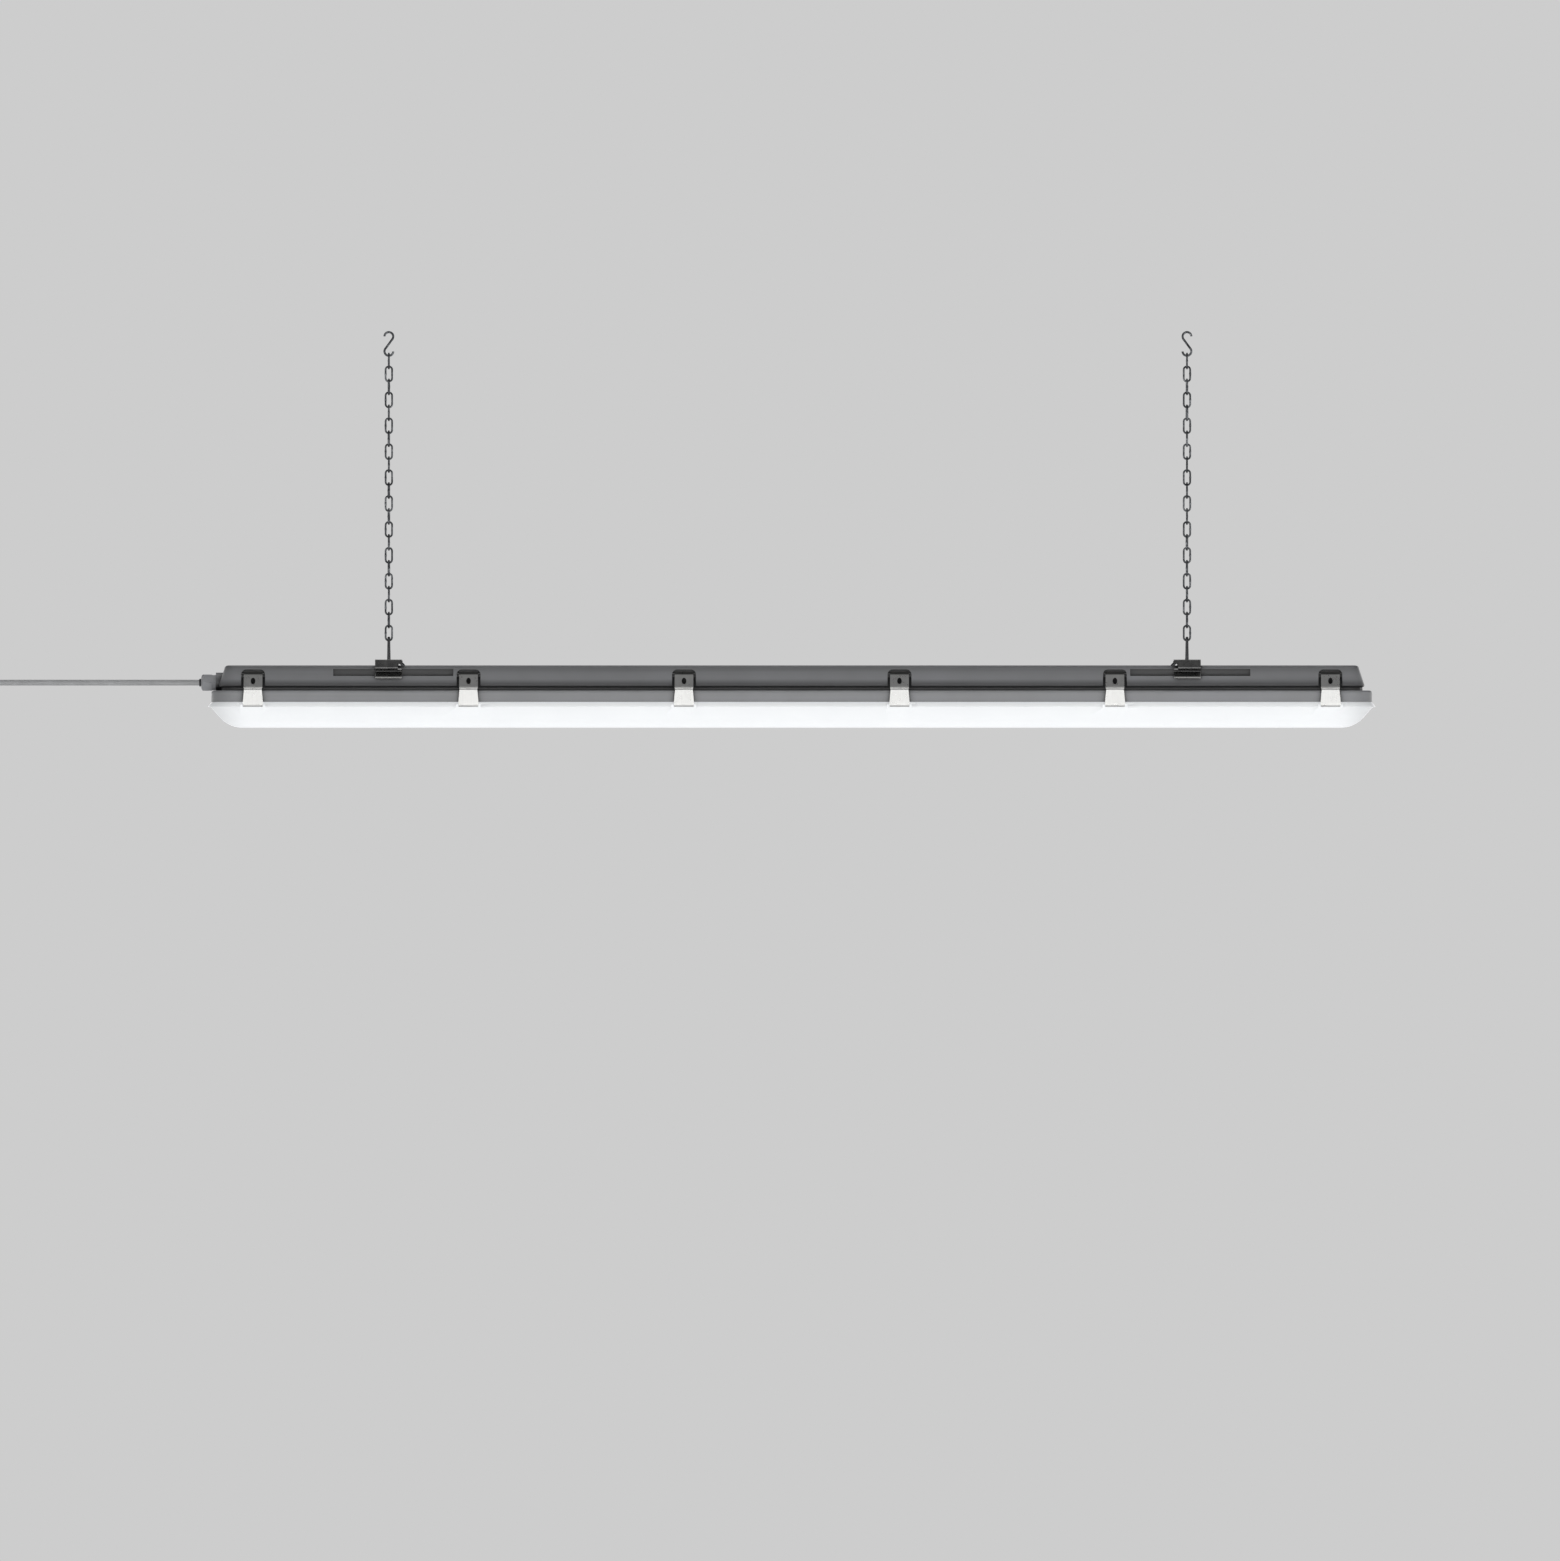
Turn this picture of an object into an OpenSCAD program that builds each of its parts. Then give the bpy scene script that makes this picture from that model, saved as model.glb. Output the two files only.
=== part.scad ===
// Hanging shop light: a long weatherproof batten on two chains.
// X runs along the lamp, the front is towards -Y, and Z is up.
// The origin lies midway between the two points where the ceiling hooks bear in the S-hooks.

/* [Lamp outline] */
// Length over the diffuser's rim, without its narrow edge
lamp_len = 1222; // [1200:2:1260]
// Width over the diffuser's rim, without its narrow edge
lamp_w = 86; // [84:1:90]
// Radius of the rim's corners, seen from above
corner_r = 27; // [26:1:28]
// Height of the rim's underside above the lowest point of the diffuser
rim_z = 21.7; // [21.5:0.1:22]
// Height of the housing's skirt above the lowest point of the diffuser
skirt_z = 27; // [27:0.1:27.2]
// Height of the step between the skirt and the housing's wall
step_z = 39; // [38.8:0.1:39.2]
// Height of the housing's flat top
top_z = 65.3; // [65:0.1:65.6]

/* [Diffuser] */
// Slope of the diffuser's sides, from the level
lens_slope = 48; // [46:1:50]
// Radius of the roll from the sides to the flat bottom
lens_roll = 31; // [29:1:32]
// Thickness of the diffuser
lens_wall = 2.2; // [1.8:0.1:2.6]

/* [Housing] */
// Thickness of the moulded walls
wall = 2.5; // [2:0.1:2.8]
// Length of the grooves in which the brackets slide
groove_len = 126; // [110:1:130]
// Distance of each groove's middle from the lamp's middle
groove_x = 418; // [410:1:422]
// Radius of the cable entry in the left end
entry_r = 6.1; // [5.8:0.1:6.3]

/* [Latches] */
// Latches along each side
latch_count = 6; // [6:1:6]
// Distance from one latch to the next
latch_pitch = 226; // [224:1:228]
// Width of the hinge barrel and the upper plate
latch_w = 19.6; // [18:0.2:20]
// Width of the neck between the plates
latch_neck_w = 18.6; // [16:0.2:18.8]
// Width of the lip that hooks under the rim
latch_lip_w = 21.4; // [20:0.2:22]
// Thickness of the sheet
latch_t = 1; // [0.8:0.1:1.1]
// Radius of the hinge pins
pin_r = 1.2; // [1:0.1:1.3]

/* [Suspension] */
// Distance from one chain to the other
chain_span = 838; // [830:2:844]
// Links in each chain
link_count = 22; // [16:2:24]
// Inside length of a link
link_in = 13.7; // [13:0.1:14]
// Thickness of a link's wire
link_wire = 2; // [1.8:0.1:2.2]
// Radius of a link's round ends, at the middle of the wire
link_bow = 3.4; // [3.3:0.1:3.6]
// Thickness of the S-hook's wire
s_wire = 2.4; // [2.2:0.1:2.6]
// Radius of the S-hook's bows, at the middle of the wire
s_bow = 4.6; // [4.5:0.1:4.8]
// Distance between the centres of the S-hook's bows
s_reach = 15.6; // [15:0.1:17]
// Thickness of the V-hook's wire
v_wire = 3; // [2.8:0.1:3]
// Height of the V-hook, from its bow to its feet
v_height = 25.5; // [25:0.5:28]
// Width of a bracket along the lamp
bracket_w = 28; // [28:1:32]
// Thickness of the bracket's spring steel
bracket_t = 1.2; // [1:0.1:1.2]

/* [Cord and plug] */
// Diameter of the power cord
cord_d = 6; // [5.6:0.1:6]
// Height of the cable entry above the lowest point of the diffuser
entry_z = 47.3; // [47:0.1:47.6]

/* [Hidden] */
$fn = 48;

// Smallest gap between pieces that touch but move on each other
play = 0.1;
// Overlap that makes a cut run clean through a face
over = 1;

// Heights down the suspension, from the bearing point of the ceiling hook.
s_top_z = -(s_bow - s_wire / 2);
s_low_z = s_top_z - s_reach;
s_seat_z = s_low_z - s_bow;
link_mean = link_in + link_wire;
link_step = link_in - play;
link_straight = link_mean - 2 * link_bow;
first_link_z = s_seat_z + s_wire / 2 + link_wire / 2 + play - link_mean / 2;
last_link_z = first_link_z - (link_count - 1) * link_step;
v_top_z = last_link_z - link_mean / 2 + link_wire / 2 + v_wire / 2 + play;
v_foot_z = v_top_z - v_height;

// The bracket's plate rests on the V-hook's feet, and the lamp hangs below it.
plate_z = v_foot_z + v_wire / 2 + 0.05;
plate_gap = 4.9;
lamp_z = plate_z - plate_gap - top_z;

// The chains are mirrored about the origin, and the lamp's own middle lies a little to the right.
chain_x = chain_span / 2;
lamp_x = 4;

// Middles of the rim's round corners.
corner_x = lamp_len / 2 - corner_r;
corner_y = lamp_w / 2 - corner_r;

// The housing's wall leans in from its foot to the edge of its top, over a recess in its foot.
wall_foot = [8, step_z];
wall_head = [15.5, 61.3];
wall_lean = atan2(wall_head[0] - wall_foot[0], wall_head[1] - wall_foot[1]);
foot_r = 2;
recess_in = 13;
recess_z = 42.6;
// A web closes the recess in the middle of each end.
web_w = 18;
function wall_in(z) = wall_foot[0] + (z - wall_foot[1])
    * (wall_head[0] - wall_foot[0]) / (wall_head[1] - wall_foot[1]);
function wall_y(z) = lamp_w / 2 - wall_in(z);
foot_mid = [wall_in(recess_z + foot_r) + foot_r / cos(wall_lean), recess_z + foot_r];

// Height of the ceiling inside the housing.
ceiling_z = top_z - wall;
// The skirt, the groove in it for the gasket, and the cavity, as distances in from the rim.
skirt_in = 2;
channel = [4.5, 9.5];
channel_z = 36.5;
cavity_in = 12;
cavity_foot_z = 36.8;

// The grooves for the brackets, near the housing's top.
groove_low = 54.3;
groove_high = 61.6;
groove_y = 24.5;

// The latches' pockets and hinge line.
pocket_w = 25;
pocket_top = 61.2;
pocket_back = 24.2;
pocket_foot = 33.3;
pocket_r = 5.5;
pivot_y = 26.9;
pivot_z = 57;
barrel_r = 2.3;
latch_hole_r = 2.4;
latch_hole_z = 49;
pin_len = 29.4;
// The latch's sheet bends outwards at its knee, level with the step, and down again over the skirt.
latch_knee = [36.2, 41.9];
latch_shoulder = [43.9, 40.5];
// Thicker walls carry the hinge pins inside the housing.
boss_w = 34;
boss_foot_z = 38;

// The seats that the latches' lips reach into, under the diffuser's rim.
seat_w = 26;
seat_y = 40.9;
seat_z = 24.2;

// The plate under the driver, and what it carries.
tray_z = 31;
tray_t = 1;
tray_w = 58;
tray_len = 1176;
tray_lip = 6;
output_hole_r = 4;
post_r = 4;
post_y = 23;
screw_r = 1.25;
screw_len = 14;
screw_head = [3.2, 2];
post_xs = [-540, -180, 180, 540];
output_x = 345;
board_t = 1.6;
board_w = 30;
board_len = 580;
led_pitch = 24;
led_count = 24;
led_size = [3.5, 2.8, 0.8];

// The gland stands on a flat boss in the left end, and its locknut bears on a pad inside.
boss_x = -604.5;
boss_r = 10.5;
pad_r = 11;
pad_len = 11.4;
locknut_len = 3.4;
gland_hex = 17;
flange_hex = 16;
nut_len = 11.5;
nut_bore = 6.5;
nut_lip = 4.1;
nut_seat = 6;
neck_r = 6.4;
neck_len = 4;
flange_len = 4;
cord_start = boss_x - flange_len - nut_len - 2;

// The cord's run, from the gland's lip to the plug.
cord_run = [
    [0, 0, 0], [-15, 0, 0], [-30, 0, 0], [-45, 0, 0], [-60, 0, 0], [-75, 0, 0],
    [-90, 0, 0], [-105, 0, 0], [-120, 0, 0], [-135, 0, 0], [-150, 0, 0], [-165, 0, 0],
    [-180, 0, 0], [-195, 0, 0], [-210, 0, 0], [-225, 0, 0]
];
plug_x = cord_start - 225;

steel = "#b9bcbe";
grey_plastic = "#8f9092";
opal = "#f2f4f4";
dark_steel = "#6f7275";

// ---------- Helpers ----------

// Points on an arc in a flat outline.
function arc(centre, r, from, to, steps) =
    [for (i = [0 : steps]) centre + r * [cos(from + (to - from) * i / steps),
                                         sin(from + (to - from) * i / steps)]];

// A bent line with each inner corner rounded to a radius of r.
function bent(points, r, steps = 4) = [
    points[0],
    for (i = [1 : len(points) - 2])
        for (p = corner_arc(points[i - 1], points[i], points[i + 1], r, steps)) p,
    points[len(points) - 1]
];
function corner_arc(before, corner, after, r, steps = 4) =
    let (u = unit(before - corner),
         v = unit(after - corner),
         half = acos(u * v) / 2,
         centre = corner + unit(u + v) * r / sin(half),
         start = corner + u * r / tan(half) - centre,
         end = corner + v * r / tan(half) - centre,
         sweep = 180 - 2 * half)
    [for (k = [0 : steps])
        let (a = sweep * k / steps)
        centre + (start * sin(sweep - a) + end * sin(a)) / sin(sweep)];
function unit(v) = v / norm(v);
function side(v) = [-v[1], v[0]];

// The direction square to a bent line at one of its points, longer at a corner.
function square_to(points, i) =
    let (last = len(points) - 1,
         before = unit(points[max(i, 1)] - points[max(i, 1) - 1]),
         after = unit(points[min(i, last - 1) + 1] - points[min(i, last - 1)]),
         mean = unit(before + after))
    side(mean) / (mean * after);

// The outline of a sheet of thickness t that follows a line.
function sheet_outline(points, t) = concat(
    [for (i = [0 : len(points) - 1]) points[i] + square_to(points, i) * t / 2],
    [for (i = [len(points) - 1 : -1 : 0]) points[i] - square_to(points, i) * t / 2]
);

// An outline in Y and Z, drawn out along X about the middle.
module along_x(length) {
    rotate([90, 0, 90])
        linear_extrude(length, center = true)
            children();
}

// An outline in X and Z, drawn out along Y about the middle.
module along_y(length) {
    rotate([90, 0, 0])
        linear_extrude(length, center = true)
            children();
}

// An outline carried round the lamp's plan. Its points are [distance in from the rim, height].
module carried_round(points) {
    outline = [for (p = points) [corner_r - p[0], p[1]]];
    for (turn = [0 : 3])
        translate([corner_x * (turn == 0 || turn == 3 ? 1 : -1),
                   corner_y * (turn < 2 ? 1 : -1), 0])
            rotate(90 * turn)
                rotate_extrude(angle = 90)
                    polygon(outline);
    for (end = [0, 180])
        rotate(end) {
            translate([0, corner_y, 0])
                along_x(2 * corner_x)
                    polygon(outline);
            translate([corner_x, 0, 0])
                rotate([90, 0, 0])
                    linear_extrude(2 * corner_y, center = true)
                        polygon(outline);
        }
}

// A solid block between two heights that fills the middle of the plan.
module middle_block(low, high) {
    translate([-corner_x, -corner_y, low])
        cube([2 * corner_x, 2 * corner_y, high - low]);
}

// The direction of a path at one of its points.
function heading(path, i) =
    unit(path[min(i + 1, len(path) - 1)] - path[max(i - 1, 0)]);

// A direction square to the path at each point, carried along so that the tube doesn't twist.
function carried(path, start) = [
    for (i = 0, n = square_part(start, heading(path, 0));
         i < len(path);
         i = i + 1, n = i < len(path) ? square_part(n, heading(path, i)) : n) n
];
function square_part(v, direction) = unit(v - (v * direction) * direction);

// A round tube along a path. `start` is any direction that isn't along the path's start.
module tube(path, d, sides, start) {
    normals = carried(path, start);
    rings = [for (i = [0 : len(path) - 1])
        for (k = [0 : sides - 1])
            let (a = 360 * k / sides, n = normals[i])
            path[i] + d / 2 * (n * cos(a) + cross(heading(path, i), n) * sin(a))];
    polyhedron(rings, tube_faces(len(path), sides));
}

// The faces of a tube through a number of rings, with flat ends.
function tube_faces(rings, sides) = concat(
    [[for (i = [0 : sides - 1]) i]],
    [for (k = [0 : rings - 2])
        for (i = [0 : sides - 1])
            [k * sides + i, (k + 1) * sides + i,
             (k + 1) * sides + (i + 1) % sides, k * sides + (i + 1) % sides]],
    [[for (i = [sides - 1 : -1 : 0]) (rings - 1) * sides + i]]
);

// A list of points from last to first.
function backwards(points) = [for (i = [len(points) - 1 : -1 : 0]) points[i]];

// Everything that hangs with the lamp is drawn about its middle, above the diffuser's lowest point.
module in_lamp() {
    translate([lamp_x, 0, lamp_z])
        children();
}

// Puts a piece at each latch, front and rear.
module at_latches() {
    for (row = [-1, 1])
        for (k = [1 : latch_count])
            at_latch(k, row)
                children();
}

// Places a piece drawn for the rear side at one latch. row is -1 at the front and 1 at the rear.
module at_latch(k, row) {
    translate([(k - (latch_count + 1) / 2) * latch_pitch, 0, 0])
        mirror([0, row < 0 ? 1 : 0, 0])
            children();
}

// ---------- Lamp body ----------

housing_outline = concat(
    [[corner_r, skirt_z], [skirt_in, skirt_z]],
    arc([skirt_in + 2.5, step_z - 2.5], 2.5, 180, 90, 3),
    [[recess_in, step_z], [recess_in, recess_z - 0.6], [recess_in - 0.6, recess_z]],
    arc(foot_mid, foot_r, 270, 180 - wall_lean, 4),
    arc([wall_head[0] + 4, wall_head[1]], 4, 180, 90, 4),
    [[corner_r, top_z]]
);

cavity_outline = [
    [corner_r, skirt_z - over], [cavity_in, skirt_z - over], [cavity_in, cavity_foot_z],
    [recess_in + wall, step_z - 0.5], [recess_in + wall, recess_z + wall],
    [wall_head[0] + wall + 0.3, 61], [wall_head[0] + wall + 2, ceiling_z],
    [corner_r, ceiling_z]
];

channel_outline = [
    [channel[0], skirt_z - over], [channel[1], skirt_z - over],
    [channel[1], channel_z], [channel[0], channel_z]
];

module latch_pocket() {
    intersection() {
        along_x(pocket_w)
            polygon([[pocket_back, 53], [pocket_foot, step_z + 0.4], [lamp_w / 2, step_z + 0.4],
                     [lamp_w / 2, pocket_top], [pocket_back, pocket_top]]);
        translate([0, lamp_w / 4, 0])
            along_y(lamp_w) {
                translate([-pocket_w / 2, step_z])
                    square([pocket_w, pocket_top - step_z - pocket_r]);
                translate([-pocket_w / 2 + pocket_r, step_z])
                    square([pocket_w - 2 * pocket_r, pocket_top - step_z]);
                for (s = [-1, 1])
                    translate([s * (pocket_w / 2 - pocket_r), pocket_top - pocket_r])
                        circle(pocket_r);
            }
    }
}

module pocket_boss() {
    translate([-boss_w / 2, pocket_back - 2.2, boss_foot_z])
        cube([boss_w, wall_y(boss_foot_z) - pocket_back, ceiling_z - boss_foot_z + over]);
}

module bracket_groove(grow) {
    for (x = [-groove_x, groove_x])
        for (row = [-1, 1])
            translate([x, row * (groove_y - grow + 10), (groove_low + groove_high) / 2])
                cube([groove_len + 2 * grow, 20, groove_high - groove_low + 2 * grow],
                     center = true);
}

module housing_cavity() {
    difference() {
        union() {
            carried_round(cavity_outline);
            middle_block(skirt_z - over, ceiling_z);
        }
        at_latches()
            pocket_boss();
        bracket_groove(wall - 0.3);
        translate([boss_x, 0, entry_z])
            rotate([0, 90, 0])
                cylinder(r = pad_r, h = pad_len);
        for (x = post_xs)
            for (y = [-post_y, post_y])
                translate([x, y, tray_z + tray_t])
                    cylinder(r = post_r, h = top_z - tray_z);
    }
}

module housing() {
    color(grey_plastic)
        in_lamp()
            difference() {
                union() {
                    carried_round(housing_outline);
                    middle_block(skirt_z, top_z);
                    for (end = [0, 180])
                        rotate(end)
                            translate([corner_x, -web_w / 2, step_z - over])
                                cube([corner_r - foot_mid[0], web_w,
                                      recess_z - step_z + 1.5 * over]);
                    translate([boss_x, 0, entry_z])
                        rotate([0, 90, 0])
                            cylinder(r = boss_r, h = pad_len);
                }
                housing_cavity();
                carried_round(channel_outline);
                bracket_groove(0);
                at_latches() {
                    latch_pocket();
                    translate([0, pivot_y, pivot_z])
                        rotate([0, 90, 0])
                            cylinder(r = pin_r + 0.05, h = pin_len + 0.4, center = true);
                }
                for (x = post_xs)
                    for (y = [-post_y, post_y])
                        translate([x, y, tray_z])
                            cylinder(r = screw_r + 0.05, h = screw_len);
                translate([boss_x - over, 0, entry_z])
                    rotate([0, 90, 0])
                        cylinder(r = entry_r, h = 30);
            }
}

// One level ring of the diffuser, a distance in from the rim. Its corners get tighter downwards.
corner_steps = 7;
function lens_ring(inward, z) =
    let (r = corner_r - 0.55 * inward,
         x = lamp_len / 2 - inward - r,
         y = lamp_w / 2 - inward - r)
    [for (turn = [0 : 3])
        for (k = [0 : corner_steps])
            let (angle = 90 * turn + 90 * k / corner_steps)
            [(turn == 0 || turn == 3 ? x : -x) + r * cos(angle),
             (turn < 2 ? y : -y) + r * sin(angle), z]];

// Distance in from the rim, and height, at an angle round the diffuser's roll.
// The sides start a step in from the rim, and the roll meets both them and the flat bottom.
side_start = 1;
roll_low_in = side_start + rim_z / tan(lens_slope) + lens_roll * tan(lens_slope / 2);
function roll_point(angle, t) = [
    roll_low_in - (lens_roll - t) * sin(angle),
    lens_roll - (lens_roll - t) * cos(angle)
];

// The bowl as a solid, thinner by t all round and as high as the outline's last point.
module lens_bowl(t, top) {
    profile = concat(
        [for (k = [0 : 8]) roll_point(lens_slope * k / 8, t)],
        [[side_start + t / sin(lens_slope), rim_z], [side_start + t / sin(lens_slope), top]]
    );
    polyhedron([for (p = profile) each lens_ring(p[0], p[1])],
               tube_faces(len(profile), 4 * (corner_steps + 1)));
}

// The rim comes to a narrow edge outside the sides, and its tongue stands in the skirt's groove.
rim_tip = 1.5;
rim_top = skirt_z - 0.2;
tongue = [6, 8];
tongue_z = 33.2;
rim_outline = [
    [side_start, rim_z], [0.3 - rim_tip, rim_z], [-rim_tip, rim_z + 0.3],
    [0.1 - rim_tip, rim_z + 0.7], [skirt_in, rim_top - 0.1], [skirt_in + 0.4, rim_top],
    [tongue[0], rim_top], [tongue[0], tongue_z], [tongue[1], tongue_z], [tongue[1], rim_top],
    [9, rim_top], [9, rim_z - 0.5], [4, rim_z - 0.5]
];

module diffuser() {
    color(opal)
        in_lamp()
            difference() {
                union() {
                    difference() {
                        lens_bowl(0, rim_z + 1);
                        lens_bowl(lens_wall, rim_z + 4);
                    }
                    carried_round(rim_outline);
                }
                at_latches()
                    translate([-seat_w / 2, seat_y, rim_z - over])
                        cube([seat_w, lamp_w / 2 + rim_tip + over - seat_y, seat_z - rim_z + over]);
            }
}

module gasket() {
    color("#3a3a3c")
        in_lamp()
            carried_round([
                [channel[0] + play, tongue_z], [channel[1] - play, tongue_z],
                [channel[1] - play, channel_z], [channel[0] + play, channel_z]
            ]);
}

// ---------- Inside the lamp ----------

module gear_tray() {
    color("#e9eaea")
        in_lamp()
            difference() {
                union() {
                    translate([-tray_len / 2, -tray_w / 2, tray_z])
                        cube([tray_len, tray_w, tray_t]);
                    for (y = [-tray_w / 2, tray_w / 2 - tray_t])
                        translate([-tray_len / 2, y, tray_z])
                            cube([tray_len, tray_t, tray_lip]);
                }
                for (x = post_xs)
                    for (y = [-post_y, post_y])
                        translate([x, y, tray_z - over])
                            cylinder(r = screw_r + 0.65, h = tray_t + 2 * over);
                translate([output_x, 0, tray_z - over])
                    cylinder(r = output_hole_r, h = tray_t + 2 * over);
            }
}

module tray_screws() {
    color(steel)
        in_lamp()
            for (x = post_xs)
                for (y = [-post_y, post_y])
                    translate([x, y, tray_z - screw_head[1]]) {
                        cylinder(r = screw_head[0], h = screw_head[1]);
                        cylinder(r = screw_r, h = screw_len);
                    }
}

module led_board(dir) {
    color("#f4f4f0")
        in_lamp()
            translate([dir * (board_len / 2 + 1) - board_len / 2, -board_w / 2, tray_z - board_t])
                cube([board_len, board_w, board_t]);
}

module leds() {
    color("#f3e27a")
        in_lamp()
            for (dir = [-1, 1])
                for (i = [0 : led_count - 1])
                    translate([dir * (1 + led_pitch / 2 + i * led_pitch), 0,
                               tray_z - board_t - led_size[2] / 2])
                        cube(led_size, center = true);
}

driver_pos = [60, 0, tray_z + tray_t];
driver_size = [250, 36, 20];
driver_base = 5;
driver_skin = 1.5;
driver_hole_r = 3.2;
// The driver is screwed down through an ear at each end.
ear = [12, 2];
ear_hole_r = 2.2;

module driver_case() {
    color("#d9dadb")
        in_lamp()
            translate(driver_pos)
                difference() {
                    union() {
                        translate([0, -driver_size[1] / 2, 0])
                            cube([driver_size[0], driver_size[1], driver_base]);
                        for (x = [-ear[0], driver_size[0]])
                            translate([x, -driver_size[1] / 2, 0])
                                cube([ear[0], driver_size[1], ear[1]]);
                    }
                    for (x = [-ear[0] / 2, driver_size[0] + ear[0] / 2])
                        translate([x, 0, -over])
                            cylinder(r = ear_hole_r, h = ear[1] + 2 * over);
                }
}

module driver_cover() {
    color("#c9cbcc")
        in_lamp()
            translate(driver_pos + [0, -driver_size[1] / 2, driver_base])
                difference() {
                    cube(driver_size - [0, 0, driver_base]);
                    translate([driver_skin, driver_skin, -over])
                        cube(driver_size - [2 * driver_skin, 2 * driver_skin,
                                            driver_base + driver_skin - over]);
                    translate([-over, driver_size[1] / 2, driver_z - driver_pos[2] - driver_base])
                        rotate([0, 90, 0])
                            cylinder(r = driver_hole_r, h = driver_size[0] + 2 * over);
                }
}

terminal_pos = [-500, 0, tray_z + tray_t];
terminal_size = [24, 30, 14];
terminal_gap = 9;
terminal_h = 9;
terminal_r = 1.8;

module terminal_block() {
    color("#e8e6df")
        in_lamp()
            translate(terminal_pos)
                difference() {
                    translate([-terminal_size[0] / 2, -terminal_size[1] / 2, 0])
                        cube(terminal_size);
                    for (k = [-1 : 1])
                        translate([0, k * terminal_gap, terminal_h])
                            rotate([0, 90, 0])
                                cylinder(r = terminal_r, h = terminal_size[0] + 2 * over,
                                         center = true);
                }
}

// Where the cable ends inside the housing.
cable_end = -545;

// Two supply leads and the earth run from the cable's end to the terminals, two leads run on
// to the driver, and two from its other end down to the light boards.
lead_d = 1.7;
lead_y = 2.05;
lead_z = terminal_pos[2] + terminal_h;
terminal_end = [terminal_pos[0] - terminal_size[0] / 2, terminal_pos[0] + terminal_size[0] / 2];
driver_z = driver_pos[2] + 11;
lead_in = 4;

module lead(points) {
    tube(bent(points, 5, 3), lead_d, 8, [0, 1, 0]);
}

module inner_leads() {
    driver_end = driver_pos[0] + driver_size[0];
    color("#7b4a2b")
        in_lamp() {
            for (k = [-1 : 1])
                lead([[cable_end, k * lead_y, entry_z], [cable_end + 6, k * lead_y, entry_z],
                      [terminal_pos[0] - 20, k * terminal_gap, lead_z],
                      [terminal_end[0] + lead_in, k * terminal_gap, lead_z]]);
            for (k = [-1, 1]) {
                lead([[terminal_end[1] - lead_in, k * terminal_gap, lead_z],
                      [driver_pos[0] - 40, k * terminal_gap, lead_z],
                      [driver_pos[0] - 16, k * 1.6, driver_z],
                      [driver_pos[0] + lead_in, k * 1.6, driver_z]]);
                lead([[driver_end - lead_in, k * 1.6, driver_z],
                      [output_x, k * 1.6, driver_z], [output_x, k * 1.6, tray_z]]);
            }
        }
}

module inner_cable() {
    color("#d4d5d6")
        in_lamp()
            translate([cord_start, 0, entry_z])
                rotate([0, 90, 0])
                    cylinder(d = cord_d, h = cable_end - cord_start);
}

// ---------- Cable gland ----------

// Draws a turned piece that lies along X from the boss, outwards.
module at_entry(out) {
    in_lamp()
        translate([boss_x - out, 0, entry_z])
            rotate([0, -90, 0])
                children();
}

// A six-sided nut with its flats level, w across them.
module hexagon(w, h) {
    rotate(30)
        cylinder(d = w / cos(30), h = h, $fn = 6);
}

module gland_body() {
    thread_len = pad_len + locknut_len + 1;
    color("#77797b")
        difference() {
            at_entry(0) {
                hexagon(flange_hex, flange_len);
                translate([0, 0, -thread_len])
                    cylinder(r = entry_r - 0.1, h = thread_len);
                cylinder(r = neck_r, h = flange_len + neck_len);
            }
            at_entry(-thread_len - over)
                cylinder(r = cord_d / 2 + 0.2, h = 40);
        }
}

// The nut is turned with a domed end and a stepped bore, and has six flats.
module gland_nut() {
    dome_z = 6.5;
    dome_r = nut_len - dome_z;
    outer_r = gland_hex / 2 / cos(30);
    color("#85878a")
        at_entry(flange_len + play)
            intersection() {
                rotate_extrude()
                    polygon(concat(
                        [[nut_bore, 0], [outer_r, 0]],
                        arc([outer_r - dome_r, dome_z], dome_r, 0, 90, 6),
                        [[nut_lip, nut_len], [nut_lip, nut_seat], [nut_bore, nut_seat]]
                    ));
                translate([0, 0, -over])
                    hexagon(gland_hex, nut_len + 2 * over);
            }
}

module gland_seal() {
    color("#4a4b4d")
        difference() {
            at_entry(flange_len + neck_len + 2 * play) {
                cylinder(r = neck_r - 2 * play, h = nut_seat - neck_len - 0.3);
                cylinder(r = nut_lip - play, h = nut_len - neck_len + 1.8);
            }
            at_entry(0)
                cylinder(r = cord_d / 2, h = 40);
        }
}

module gland_locknut() {
    color("#77797b")
        difference() {
            at_entry(-pad_len - locknut_len)
                hexagon(gland_hex, locknut_len);
            at_entry(-20)
                cylinder(r = entry_r, h = 30);
        }
}

// ---------- Latches ----------

latch_line = bent([
    [pivot_y + barrel_r - latch_t / 2, pivot_z], latch_knee, latch_shoulder,
    [44.1, 24.6], [43.5, 22.5], [41.6, 22.2]
], 1.1);

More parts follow.
